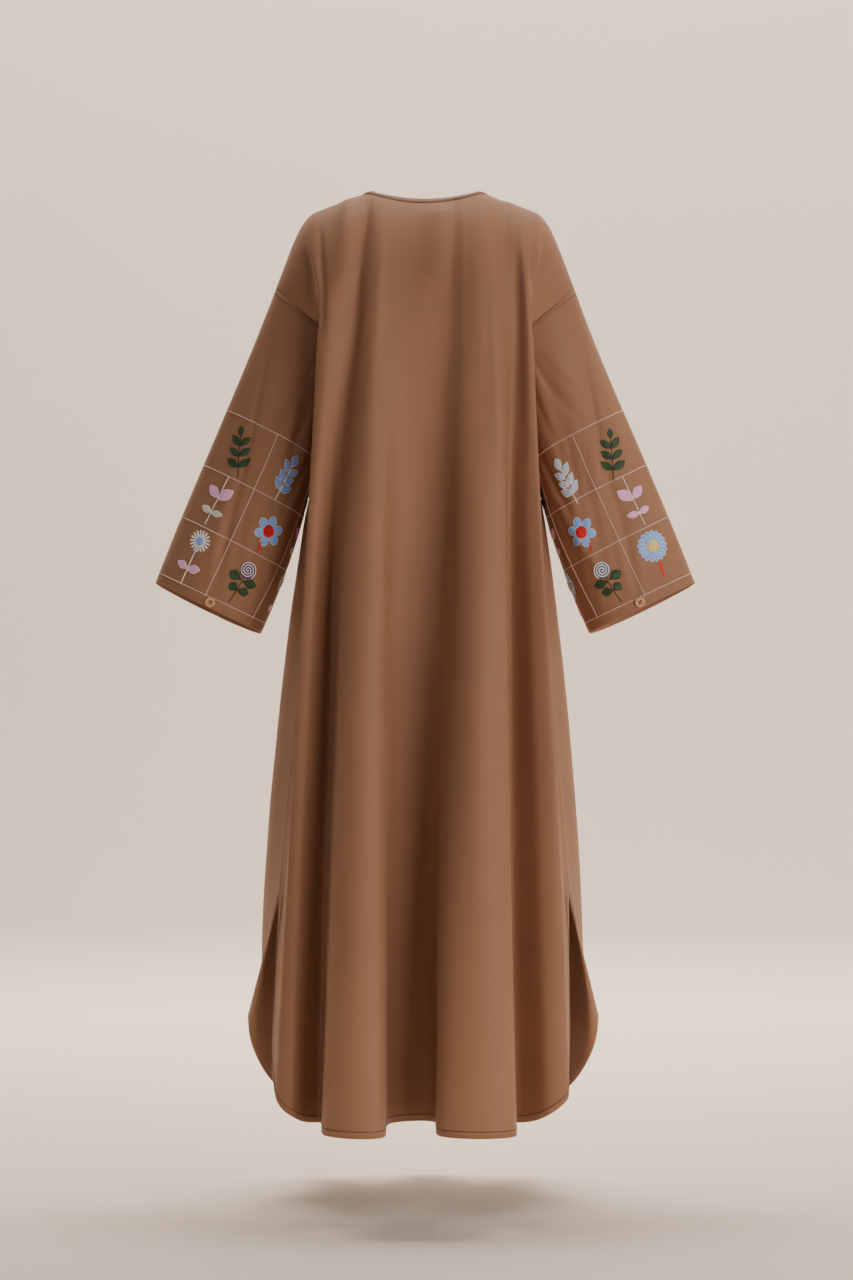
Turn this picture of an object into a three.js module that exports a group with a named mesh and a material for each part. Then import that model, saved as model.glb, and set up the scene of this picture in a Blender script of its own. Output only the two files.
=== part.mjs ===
// Long mukhawar: an A-line dress with a shallow round neck, dropped shoulders, wide straight
// sleeves that end in a button band, and side slits with rounded hem corners.
// Millimetres, +Z up, the wearer faces +Y, so the back lies towards -Y and +X is the wearer's right.
// The origin is the centre of the neck opening, 20 mm below the high shoulder points.
import * as THREE from "three";

// ---- driving sizes -------------------------------------------------------------------------
const SHOULDER_Z = 20;        // height of the high shoulder points above the origin
const CLOTH = 1.5;            // wall of every cloth piece
const SEAM_GAP = 0.2;         // each panel stands back this far from its seam line
const NECK_HALF = 80;         // half the neck opening along X
const BACK_SCOOP = 21;        // degrees that the back neck drops over the shoulder curve
const FRONT_SCOOP = 74;       // degrees that the front neck drops over the chest curve
const BINDING_WIDTH = 10;
const BINDING_THICK = 2.2;
const BACK_DEG_PER_MM = 0.42; // how far one millimetre reaches along the back shoulder curve
const FRONT_DEG_PER_MM = 0.293;
const HEM_Z = -1364;          // hem below the high shoulder point
const BACK_CORNER = 132;      // radius of the rounded hem corners
const FRONT_CORNER = 137;
const BUTTON_R = 7.6;
const BUTTON_THICK = 2.6;

// Shoulder line at the side, from the neck out over the shoulder to the top of the armhole.
const SHOULDER_LINE = [
  { x: 80, z: 0 },
  { x: 109, z: -12 },
  { x: 149, z: -26 },
  { x: 172, z: -38 },
  { x: 185, z: -56 },
  { x: 195, z: -78 },
  { x: 206, z: -106 },
  { x: 221, z: -145 },
];

// Heights, below the high shoulder point, at which the folds of each panel are given.
const LEVELS = { blade: -200, arm: -300, chest: -500, waist: -700, slit: -1031 };

// One row per fold line, left to right seen from behind. `top` is where it meets the neck or
// shoulder; every later pair is the fold's x and y at a level, down to the hem.
const BACK_FOLDS = [
  { name: "edge_l", top: -221, blade: [-152, -56], arm: [-145, 0],
    chest: [-159, -36], waist: [-181, -72], slit: [-213, -105], hem: [-225, -105], steps: 2 },
  { name: "valley_l", top: -190, blade: [-147, -80], arm: [-144, -58],
    chest: [-157, -80], waist: [-171, -98], slit: [-206, -118], hem: [-222, -122], steps: 3 },
  { name: "ridge_l", top: -150, blade: [-155, -104], arm: [-160, -110],
    chest: [-171, -120], waist: [-183, -127], slit: [-200, -138], hem: [-214, -146], steps: 2 },
  { name: "crest_l", top: -122, blade: [-139, -111], arm: [-145, -117],
    chest: [-160, -123], waist: [-170, -130], slit: [-186, -143], hem: [-196, -156], steps: 2 },
  { name: "neck_l", top: -90.3, blade: [-110, -106], arm: [-119, -106],
    chest: [-143, -108], waist: [-150, -110], slit: [-164, -118], hem: [-172, -124], steps: 2 },
  { name: "trough_1", top: -80, blade: [-98, -104], arm: [-107, -102],
    chest: [-131, -99], waist: [-136, -98], slit: [-147, -104], hem: [-155, -110], steps: 2 },
  { name: "crest_1_left", top: -71, blade: [-88, -113], arm: [-96, -117],
    chest: [-112, -143], waist: [-117, -168], slit: [-129, -192], hem: [-144, -214], steps: 2 },
  { name: "crest_1", top: -60, blade: [-74, -122], arm: [-78, -131],
    chest: [-84, -157], waist: [-90, -181], slit: [-97, -213], hem: [-103, -241], steps: 3 },
  { name: "crest_1_right", top: -49, blade: [-61, -122], arm: [-60, -131],
    chest: [-60, -149], waist: [-62, -170], slit: [-64, -201], hem: [-63, -233], steps: 3 },
  { name: "trough_2_left", top: -6, blade: [-4, -120], arm: [-10, -123],
    chest: [-40, -118], waist: [-42, -116], slit: [-48, -119], hem: [-48, -114], steps: 3 },
  { name: "trough_2_right", top: 42, blade: [48, -111], arm: [43, -110],
    chest: [22, -107], waist: [18, -103], slit: [10, -100], hem: [9, -101], steps: 2 },
  { name: "crest_2_left", top: 53, blade: [60, -117], arm: [54, -121],
    chest: [52, -149], waist: [44, -166], slit: [30, -195], hem: [22, -220], steps: 3 },
  { name: "crest_2", top: 74, blade: [84, -122], arm: [82, -133],
    chest: [80, -160], waist: [77, -185], slit: [75, -218], hem: [77, -241], steps: 3 },
  { name: "crest_2_right", top: 90.3, blade: [104, -116], arm: [107, -126],
    chest: [113, -147], waist: [115, -166], slit: [120, -194], hem: [127, -224], steps: 2 },
  { name: "trough_3", top: 124, blade: [138, -97], arm: [139, -99],
    chest: [123, -98], waist: [124, -98], slit: [126, -105], hem: [131, -112], steps: 2 },
  { name: "crest_r", top: 138, blade: [150, -106], arm: [153, -113],
    chest: [153, -116], waist: [160, -123], slit: [171, -136], hem: [179, -146], steps: 2 },
  { name: "ridge_r", top: 150, blade: [156, -102], arm: [160, -108],
    chest: [169, -119], waist: [181, -126], slit: [197, -137], hem: [207, -142], steps: 3 },
  { name: "valley_r", top: 190, blade: [147, -80], arm: [144, -58],
    chest: [157, -80], waist: [170, -98], slit: [203, -118], hem: [210, -122], steps: 2 },
  { name: "edge_r", top: 221, blade: [152, -56], arm: [145, 0],
    chest: [158, -36], waist: [180, -72], slit: [210, -105], hem: [212, -105], steps: 0 },
];

const FRONT_FOLDS = [
  { name: "edge_l", top: -221, blade: [-152, 56], arm: [-145, 0],
    chest: [-159, -36], waist: [-181, -72], slit: [-213, -105], hem: [-265, 20], steps: 3 },
  { name: "side_l", top: -190, blade: [-147, 80], arm: [-146, 34],
    chest: [-181, 4], waist: [-209, 2], slit: [-239, 4], hem: [-242, 40], steps: 4 },
  { name: "hollow_l", top: -150, blade: [-130, 98], arm: [-134, 90],
    chest: [-149, 86], waist: [-166, 90], slit: [-186, 98], hem: [-196, 104], steps: 3 },
  { name: "fold_a_left", top: -122, blade: [-110, 109], arm: [-114, 113],
    chest: [-126, 126], waist: [-140, 141], slit: [-158, 163], hem: [-170, 182], steps: 3 },
  { name: "fold_a_right", top: -104, blade: [-94, 113], arm: [-96, 119],
    chest: [-102, 134], waist: [-110, 151], slit: [-122, 178], hem: [-132, 203], steps: 3 },
  { name: "hollow_a", top: -90.3, blade: [-66, 118], arm: [-67, 120],
    chest: [-70, 124], waist: [-74, 128], slit: [-80, 132], hem: [-86, 136], steps: 4 },
  { name: "fold_b_left", top: -26, blade: [-24, 125], arm: [-25, 130],
    chest: [-27, 142], waist: [-29, 158], slit: [-28, 184], hem: [-28, 212], steps: 4 },
  { name: "fold_b_right", top: 22, blade: [20, 125], arm: [21, 130],
    chest: [24, 143], waist: [29, 160], slit: [34, 187], hem: [38, 216], steps: 4 },
  { name: "hollow_b", top: 90.3, blade: [62, 118], arm: [64, 120],
    chest: [70, 124], waist: [76, 128], slit: [84, 132], hem: [90, 137], steps: 3 },
  { name: "fold_c_left", top: 104, blade: [92, 113], arm: [95, 119],
    chest: [101, 135], waist: [110, 153], slit: [122, 181], hem: [134, 207], steps: 3 },
  { name: "fold_c_right", top: 122, blade: [110, 109], arm: [114, 113],
    chest: [126, 126], waist: [138, 142], slit: [156, 165], hem: [168, 186], steps: 3 },
  { name: "hollow_r", top: 150, blade: [130, 98], arm: [134, 90],
    chest: [149, 86], waist: [164, 90], slit: [182, 98], hem: [192, 104], steps: 4 },
  { name: "side_r", top: 190, blade: [147, 80], arm: [146, 34],
    chest: [180, 4], waist: [205, 2], slit: [231, 4], hem: [236, 40], steps: 3 },
  { name: "edge_r", top: 221, blade: [152, 56], arm: [145, 0],
    chest: [158, -36], waist: [180, -72], slit: [210, -105], hem: [259, 20], steps: 0 },
];

const ROWS = { cap: 6, armhole: 4, body: 9, slit: 7 };

// Cuff of the wearer's left sleeve; the right one is its mirror image.
const CUFF = { outerX: -400, outerZ: -578, innerX: -243, innerZ: -652, halfDepth: 54, drop: 4 };
const SLEEVE_RINGS = 12;
const SLEEVE_BOW = { outerUpper: -7, outerLower: 4, inner: 15 };
const BUTTON_ALONG = 0.245;   // round the cuff from its outer crease, as a share of the loop
const BUTTON_UP = 9;          // from the cuff's edge to the button's centre

const cloth = new THREE.MeshStandardMaterial({ color: 0x8a5f46, roughness: 0.9, metalness: 0 });
const binding = new THREE.MeshStandardMaterial({ color: 0x80563e, roughness: 0.9, metalness: 0 });
const wood = new THREE.MeshStandardMaterial({ color: 0xc08a5e, roughness: 0.5, metalness: 0 });

// ---- curves --------------------------------------------------------------------------------
const rad = (deg) => deg * Math.PI / 180;

// Smooth curve through values at uneven knots, with end slopes taken from the end chords.
function smooth(knots, values, at) {
  let i = 0;
  while (i < knots.length - 2 && at > knots[i + 1]) i += 1;
  const slope = (k) => {
    if (k <= 0) return (values[1] - values[0]) / (knots[1] - knots[0]);
    const last = knots.length - 1;
    if (k >= last) return (values[last] - values[last - 1]) / (knots[last] - knots[last - 1]);
    const before = knots[k] - knots[k - 1];
    const after = knots[k + 1] - knots[k];
    const low = (values[k] - values[k - 1]) / before;
    const high = (values[k + 1] - values[k]) / after;
    return (low * after + high * before) / (before + after);
  };
  const width = knots[i + 1] - knots[i];
  const f = (at - knots[i]) / width;
  const a = values[i];
  const b = values[i + 1];
  const da = slope(i) * width;
  const db = slope(i + 1) * width;
  const f2 = f * f;
  const f3 = f2 * f;
  return a * (2 * f3 - 3 * f2 + 1) + da * (f3 - 2 * f2 + f) + b * (3 * f2 - 2 * f3) + db * (f3 - f2);
}

function shoulderHeight(x) {
  const reach = Math.abs(x);
  if (reach <= SHOULDER_LINE[0].x) return 0;
  return smooth(SHOULDER_LINE.map((p) => p.x), SHOULDER_LINE.map((p) => p.z), reach);
}

// Chord-length knots across the folds at one level, so the curve keeps the folds' spacing.
function levelCurve(folds, level) {
  const knots = [0];
  for (let i = 1; i < folds.length; i += 1) {
    const [ax, ay] = folds[i - 1][level];
    const [bx, by] = folds[i][level];
    knots.push(knots[i - 1] + Math.sqrt(Math.hypot(bx - ax, by - ay)) * 5);
  }
  const xs = folds.map((f) => f[level][0]);
  const ys = folds.map((f) => f[level][1]);
  return (u) => {
    const i = Math.min(Math.floor(u), folds.length - 2);
    const at = knots[i] + (knots[i + 1] - knots[i]) * (u - i);
    return [smooth(knots, xs, at), smooth(knots, ys, at)];
  };
}

// ---- body panels ---------------------------------------------------------------------------
const BAND_EDGE = NECK_HALF + BINDING_WIDTH + 0.3;
const ARM_ROW = ROWS.cap + ROWS.armhole;
const SLIT_ROW = ARM_ROW + ROWS.body;
const HEM_ROW = SLIT_ROW + ROWS.slit;

// Where fold position u starts: x on the shoulder line, or the turn round the neck opening.
function topStart(folds, u) {
  const i = Math.min(Math.floor(u), folds.length - 2);
  const from = folds[i].top;
  const to = folds[i + 1].top;
  const inNeck = Math.abs(from) <= BAND_EDGE && (Math.abs(to) <= BAND_EDGE || u === i);
  if (!inNeck) return { x: from + (to - from) * (u - i), turn: null };
  const start = Math.acos(from / BAND_EDGE);
  const turn = u === i ? start : start + (Math.acos(to / BAND_EDGE) - start) * (u - i);
  return { x: BAND_EDGE * Math.cos(turn), turn };
}

// A point on the shoulder curve of a fold that starts at x0 and reaches its blade point.
function capPoint(x0, blade, t) {
  const z0 = shoulderHeight(x0);
  const turn = 1 - Math.cos(t);
  const x = x0 + (blade[0] - x0) * turn;
  return new THREE.Vector3(x, blade[1] * Math.sin(t), z0 + (LEVELS.blade - z0) * turn);
}

// A panel is a surface over u (fold number) and v (row number). Rows start on the neck and
// shoulder line, round over the shoulder to the blade level and then drop to the hem.
function makePanel(folds, side) {
  const scoop = side < 0 ? BACK_SCOOP : FRONT_SCOOP;
  const perMm = side < 0 ? BACK_DEG_PER_MM : FRONT_DEG_PER_MM;
  const corner = side < 0 ? BACK_CORNER : FRONT_CORNER;
  const levelNames = [...Object.keys(LEVELS), "hem"];
  const curves = levelNames.map((name) => levelCurve(folds, name));
  const hemCurve = curves[curves.length - 1];
  const hemHeight = (u) => {
    const span = folds.length - 1;
    const end = u < span / 2 ? 0 : span;
    let along = 0;
    let last = hemCurve(end);
    for (let k = 1; k <= 12; k += 1) {
      const next = hemCurve(end + (u - end) * k / 12);
      along += Math.hypot(next[0] - last[0], next[1] - last[1]);
      last = next;
    }
    if (along >= corner) return HEM_Z;
    return HEM_Z + corner - Math.sqrt(corner * corner - (corner - along) ** 2);
  };
  return function panelPoint(u, v) {
    const start = topStart(folds, u);
    if (v <= ROWS.cap) {
      const drop = scoop + perMm * (BAND_EDGE - NECK_HALF);
      const first = start.turn === null ? 0 : drop * Math.sin(start.turn);
      return capPoint(start.x, curves[0](u), rad(first + (90 - first) * v / ROWS.cap));
    }
    const hemZ = hemHeight(u);
    let z;
    if (v <= ARM_ROW) z = LEVELS.blade + (LEVELS.arm - LEVELS.blade) * (v - ROWS.cap) / ROWS.armhole;
    else if (v <= SLIT_ROW) z = LEVELS.arm + (LEVELS.slit - LEVELS.arm) * (v - ARM_ROW) / ROWS.body;
    else z = LEVELS.slit + (hemZ - LEVELS.slit) * (v - SLIT_ROW) / ROWS.slit;
    const knots = [...Object.values(LEVELS).map((h) => -h), -hemZ];
    const points = curves.map((curve) => curve(u));
    const xs = points.map((p) => p[0]);
    const ys = points.map((p) => p[1]);
    const free = new THREE.Vector3(smooth(knots, xs, -z), smooth(knots, ys, -z), z);
    const near = Math.max(0, 1 - Math.min(u, folds.length - 1 - u));
    if (near === 0) return free;
    const held = heldPoint(knots, xs, ys, z, v);
    return free.lerp(held, near * near * (3 - 2 * near));
  };
}

// The sewn edge: a quarter oval round the armhole, then the side seam, then the free slit edge.
function heldPoint(knots, xs, ys, z, v) {
  if (v <= ARM_ROW) {
    const turn = Math.PI / 2 * (v - ROWS.cap) / ROWS.armhole;
    const down = Math.sin(turn);
    const x = xs[0] + (xs[1] - xs[0]) * down;
    const y = ys[1] + (ys[0] - ys[1]) * Math.cos(turn);
    return new THREE.Vector3(x, y, LEVELS.blade + (LEVELS.arm - LEVELS.blade) * down);
  }
  const [from, to] = v <= SLIT_ROW ? [1, 5] : [4, 6];
  const part = (list) => smooth(knots.slice(from, to), list.slice(from, to), -z);
  return new THREE.Vector3(part(xs), part(ys), z);
}

const backPoint = makePanel(BACK_FOLDS, -1);
const frontPoint = makePanel(FRONT_FOLDS, 1);

function surfaceNormal(point, u, v, uMax, vMax, facing) {
  const du = 0.04;
  const dv = 0.04;
  const a = point(Math.max(0, u - du), v);
  const b = point(Math.min(uMax, u + du), v);
  const c = point(u, Math.max(0, v - dv));
  const d = point(u, Math.min(vMax, v + dv));
  const n = b.sub(a).cross(d.sub(c));
  return n.multiplyScalar(facing / n.length());
}

// ---- sleeves -------------------------------------------------------------------------------
// The armhole is the shared edge of both panels, from the shoulder tip round to the underarm.
function armholeLoop(hand) {
  const edge = (point, folds, v) => point(hand < 0 ? 0 : folds.length - 1, v);
  const loop = [];
  for (let v = 0; v < ARM_ROW; v += 1) loop.push(edge(backPoint, BACK_FOLDS, v));
  for (let v = ARM_ROW; v > 0; v -= 1) loop.push(edge(frontPoint, FRONT_FOLDS, v));
  return loop;
}

function cuffCurve(hand) {
  const count = 240;
  const points = [];
  const along = [0];
  const middle = [(CUFF.outerX + CUFF.innerX) / 2, (CUFF.outerZ + CUFF.innerZ) / 2];
  const reach = [(CUFF.outerX - CUFF.innerX) / 2, (CUFF.outerZ - CUFF.innerZ) / 2];
  for (let k = 0; k <= count; k += 1) {
    const turn = 2 * Math.PI * k / count;
    const depth = -CUFF.halfDepth * Math.sin(turn) * (1 - 0.18 * Math.cos(turn));
    const x = middle[0] + reach[0] * Math.cos(turn);
    const z = middle[1] + reach[1] * Math.cos(turn) - CUFF.drop * depth / CUFF.halfDepth;
    points.push(new THREE.Vector3(hand < 0 ? x : -x, depth, z));
    if (k) along.push(along[k - 1] + points[k].distanceTo(points[k - 1]));
  }
  return (share) => {
    const want = (((share % 1) + 1) % 1) * along[count];
    let k = 1;
    while (k < count && along[k] < want) k += 1;
    const f = (want - along[k - 1]) / (along[k] - along[k - 1]);
    return points[k - 1].clone().lerp(points[k], f);
  };
}

function makeSleeve(hand) {
  const loop = armholeLoop(hand);
  const cuff = cuffCurve(hand);
  const closed = [...loop, loop[0]];
  const along = [0];
  for (let k = 1; k < closed.length; k += 1) along.push(along[k - 1] + closed[k].distanceTo(closed[k - 1]));
  const total = along[along.length - 1];
  const armAt = (share) => {
    const want = (((share % 1) + 1) % 1) * total;
    let k = 1;
    while (k < closed.length - 1 && along[k] < want) k += 1;
    const f = (want - along[k - 1]) / (along[k] - along[k - 1]);
    return closed[k - 1].clone().lerp(closed[k], f);
  };
  const out = new THREE.Vector3(hand * 0.92, 0, 0.39);
  const point = (share, w) => {
    const p = armAt(share).lerp(cuff(share), w);
    const outer = (1 + Math.cos(2 * Math.PI * share)) / 2;
    const lift = SLEEVE_BOW.outerUpper * (1 - w) + SLEEVE_BOW.outerLower * w;
    const bow = Math.sin(Math.PI * w) * (outer * lift - (1 - outer) * SLEEVE_BOW.inner);
    return p.addScaledVector(out, bow);
  };
  return { point, shares: along.slice(0, -1).map((d) => d / total) };
}

function sleeveNormal(sleeve, share, w, hand) {
  const a = sleeve.point(share - 0.02, w);
  const b = sleeve.point(share + 0.02, w);
  const c = sleeve.point(share, Math.max(0, w - 0.03));
  const d = sleeve.point(share, Math.min(1, w + 0.03));
  const n = b.sub(a).cross(d.sub(c));
  return n.multiplyScalar(hand / n.length());
}

// ---- solids --------------------------------------------------------------------------------
// Closes a grid of outer points and inner points into one thin solid.
function thinSolid(outer, inner, wrapped, flip) {
  const columns = outer.length;
  const rows = outer[0].length;
  const positions = [];
  const put = (grid) => grid.forEach((column) => column.forEach((p) => positions.push(p.x, p.y, p.z)));
  put(outer);
  put(inner);
  const id = (layer, i, j) => (layer * columns + (i % columns)) * rows + j;
  const index = [];
  const quad = (a, b, c, d) => {
    if (flip) index.push(a, c, b, a, d, c);
    else index.push(a, b, c, a, c, d);
  };
  const spans = wrapped ? columns : columns - 1;
  for (let i = 0; i < spans; i += 1) {
    for (let j = 0; j < rows - 1; j += 1) {
      quad(id(0, i, j), id(0, i, j + 1), id(0, i + 1, j + 1), id(0, i + 1, j));
      quad(id(1, i, j), id(1, i + 1, j), id(1, i + 1, j + 1), id(1, i, j + 1));
    }
    quad(id(0, i, 0), id(0, i + 1, 0), id(1, i + 1, 0), id(1, i, 0));
    quad(id(0, i, rows - 1), id(1, i, rows - 1), id(1, i + 1, rows - 1), id(0, i + 1, rows - 1));
  }
  if (!wrapped) {
    const end = columns - 1;
    for (let j = 0; j < rows - 1; j += 1) {
      quad(id(0, 0, j), id(1, 0, j), id(1, 0, j + 1), id(0, 0, j + 1));
      quad(id(0, end, j), id(0, end, j + 1), id(1, end, j + 1), id(1, end, j));
    }
  }
  const geometry = new THREE.BufferGeometry();
  geometry.setAttribute("position", new THREE.Float32BufferAttribute(positions, 3));
  geometry.setIndex(index);
  return geometry;
}

const sleeves = { left: makeSleeve(-1), right: makeSleeve(1) };

// The fold positions at which a panel is cut into columns.
function panelColumns(folds) {
  const us = [];
  folds.forEach((fold, i) => {
    for (let k = 0; k < fold.steps; k += 1) us.push(i + k / fold.steps);
  });
  us.push(folds.length - 1);
  return us;
}

function panelSolid(folds, point, facing) {
  const uMax = folds.length - 1;
  const us = panelColumns(folds);
  const other = facing < 0 ? frontPoint : backPoint;
  const otherMax = facing < 0 ? FRONT_FOLDS.length - 1 : BACK_FOLDS.length - 1;
  const outer = [];
  const inner = [];
  us.forEach((u, i) => {
    const outerColumn = [];
    const innerColumn = [];
    const atEdge = i === 0 || i === us.length - 1;
    const hand = i === 0 ? -1 : 1;
    for (let v = 0; v <= HEM_ROW; v += 1) {
      const p = point(u, v);
      const n = surfaceNormal(point, u, v, uMax, HEM_ROW, facing);
      if (atEdge && v <= SLIT_ROW) {
        const otherU = i === 0 ? 0 : otherMax;
        const sleeve = hand < 0 ? sleeves.left : sleeves.right;
        const ring = facing < 0 ? v : (2 * ARM_ROW - v) % (2 * ARM_ROW);
        if (v < ARM_ROW) n.add(sleeveNormal(sleeve, sleeve.shares[ring], 0, hand));
        if (v >= ARM_ROW) n.add(surfaceNormal(other, otherU, v, otherMax, HEM_ROW, -facing));
        if (v === ARM_ROW) n.add(sleeveNormal(sleeve, sleeve.shares[ring], 0, hand));
        n.normalize();
        const inward = point(i === 0 ? u + 0.3 : u - 0.3, v).sub(p).normalize();
        p.addScaledVector(inward, SEAM_GAP);
      }
      const top = v === 0 && Math.abs(p.x) > NECK_HALF + BINDING_WIDTH - 1;
      if (top) {
        n.y = 0;
        n.normalize();
        p.y += facing * SEAM_GAP;
      }
      if (v === ARM_ROW && atEdge) p.z -= 0.3;
      outerColumn.push(p);
      innerColumn.push(p.clone().addScaledVector(n, -CLOTH));
    }
    outer.push(outerColumn);
    inner.push(innerColumn);
  });
  return thinSolid(outer, inner, false, facing > 0);
}

function sleeveSolid(sleeve, hand) {
  const outer = [];
  const inner = [];
  const edgeOf = (k) => {
    const back = k < ARM_ROW;
    const v = back ? k : 2 * ARM_ROW - k;
    const folds = back ? BACK_FOLDS : FRONT_FOLDS;
    const u = hand < 0 ? 0 : folds.length - 1;
    return surfaceNormal(back ? backPoint : frontPoint, u, v, folds.length - 1, HEM_ROW, back ? -1 : 1);
  };
  sleeve.shares.forEach((share, k) => {
    const outerColumn = [];
    const innerColumn = [];
    for (let ring = 0; ring <= SLEEVE_RINGS; ring += 1) {
      const w = ring / SLEEVE_RINGS;
      const p = sleeve.point(share, w);
      const n = sleeveNormal(sleeve, share, w, hand);
      if (ring === 0) {
        n.add(edgeOf(k)).normalize();
        p.addScaledVector(sleeve.point(share, 0.05).sub(p).normalize(), SEAM_GAP);
      }
      outerColumn.push(p);
      innerColumn.push(p.clone().addScaledVector(n, -CLOTH));
    }
    outer.push(outerColumn);
    inner.push(innerColumn);
  });
  return thinSolid(outer, inner, true, hand > 0);
}

// ---- neck binding --------------------------------------------------------------------------
// A strip round the neck opening; it follows the shoulder and chest curves of both panels.
function neckColumns(folds, side) {
  const blade = levelCurve(folds, "blade");
  const scoop = side < 0 ? BACK_SCOOP : FRONT_SCOOP;
  const perMm = side < 0 ? BACK_DEG_PER_MM : FRONT_DEG_PER_MM;
  const columns = [];
  panelColumns(folds).forEach((u) => {
    const { turn } = topStart(folds, u);
    if (turn === null) return;
    const at = (distance) => {
      const t = rad((scoop + perMm * distance) * Math.sin(turn));
      return capPoint((NECK_HALF + distance) * Math.cos(turn), blade(u), t);
    };
    columns.push([at(0), at(BINDING_WIDTH / 2), at(BINDING_WIDTH - 0.2)]);
  });
  return columns;
}

function bindingSolid() {
  const back = neckColumns(BACK_FOLDS, -1);
  const front = neckColumns(FRONT_FOLDS, 1).reverse();
  const columns = [...back.slice(0, -1), ...front.slice(0, -1)];
  const outer = [];
  const inner = [];
  columns.forEach((column, k) => {
    const before = columns[(k + columns.length - 1) % columns.length];
    const after = columns[(k + 1) % columns.length];
    const n = after[1].clone().sub(before[1]).cross(column[2].clone().sub(column[0])).normalize().negate();
    outer.push(column.map((p, row) => p.clone().addScaledVector(n, row === 1 ? 0.5 : 0.2)));
    inner.push(column.map((p) => p.clone().addScaledVector(n, 0.2 - BINDING_THICK)));
  });
  return thinSolid(outer, inner, true, false);
}

// ---- buttons -------------------------------------------------------------------------------
// A four-hole button on the cuff band: a lathe-turned disc with a raised rim.
function buttonMesh(sleeve, hand) {
  const share = BUTTON_ALONG;
  const edge = sleeve.point(share, 1);
  const up = sleeve.point(share, 0.9).sub(edge).normalize();
  const n = sleeveNormal(sleeve, share, 0.98, hand);
  const centre = edge.addScaledVector(up, BUTTON_UP).addScaledVector(n, 0.9);
  const shape = new THREE.Shape().absarc(0, 0, BUTTON_R, 0, 2 * Math.PI, false);
  for (const [x, y] of [[1, 1], [-1, 1], [-1, -1], [1, -1]]) {
    shape.holes.push(new THREE.Path().absarc(x * 1.5, y * 1.5, 0.75, 0, 2 * Math.PI, true));
  }
  const options = { depth: BUTTON_THICK, bevelEnabled: false, curveSegments: 12 };
  const geometry = new THREE.ExtrudeGeometry(shape, options);
  const across = new THREE.Vector3().crossVectors(up, n).normalize();
  const upright = new THREE.Vector3().crossVectors(n, across).normalize();
  const mesh = new THREE.Mesh(geometry, wood);
  mesh.quaternion.setFromRotationMatrix(new THREE.Matrix4().makeBasis(across, upright, n));
  mesh.position.copy(centre);
  return mesh;
}

// ---- assembly ------------------------------------------------------------------------------
// `worn` hangs every piece from the high shoulder points.
const dress = new THREE.Group();
const worn = new THREE.Group();
worn.position.z = SHOULDER_Z;
dress.add(worn);

function add(name, mesh) {
  mesh.name = name;
  worn.add(mesh);
}

add("back", new THREE.Mesh(panelSolid(BACK_FOLDS, backPoint, -1), cloth));
add("front", new THREE.Mesh(panelSolid(FRONT_FOLDS, frontPoint, 1), cloth));
add("sleeve_left", new THREE.Mesh(sleeveSolid(sleeves.left, -1), cloth));
add("sleeve_right", new THREE.Mesh(sleeveSolid(sleeves.right, 1), cloth));
add("neck_binding", new THREE.Mesh(bindingSolid(), binding));
add("button_left", buttonMesh(sleeves.left, -1));
add("button_right", buttonMesh(sleeves.right, 1));

export default dress;
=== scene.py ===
# Looks of a long A-line mukhawar: twill panels, embroidered sleeves, bound neck and wood buttons.
# Sizes in the tables are millimetres below the high shoulder point; meshes are made in metres.
import math

import bpy
import numpy as np
from mathutils import Matrix, Vector


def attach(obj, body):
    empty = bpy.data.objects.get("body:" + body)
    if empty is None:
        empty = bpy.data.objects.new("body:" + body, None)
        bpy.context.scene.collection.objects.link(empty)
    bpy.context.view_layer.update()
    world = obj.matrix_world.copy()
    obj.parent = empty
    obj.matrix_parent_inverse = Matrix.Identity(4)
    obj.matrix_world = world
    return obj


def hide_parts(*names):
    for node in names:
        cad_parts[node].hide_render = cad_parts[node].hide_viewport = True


bl_info = {
    "name": "Embroidered mukhawar",
    "version": (1, 0, 0),
    "blender": (4, 5, 0),
    "location": "3D View > Sidebar > Mukhawar",
    "description": "Makes a long A-line dress with embroidered sleeves, its buttons and a plain studio",
    "category": "Add Mesh",
}

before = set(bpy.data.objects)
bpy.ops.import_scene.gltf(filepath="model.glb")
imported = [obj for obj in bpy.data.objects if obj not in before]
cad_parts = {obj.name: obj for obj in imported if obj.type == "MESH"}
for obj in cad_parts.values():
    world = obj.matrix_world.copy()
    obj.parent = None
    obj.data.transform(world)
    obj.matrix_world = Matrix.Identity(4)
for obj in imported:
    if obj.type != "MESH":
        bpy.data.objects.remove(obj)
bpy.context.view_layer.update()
MM = 0.001

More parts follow.
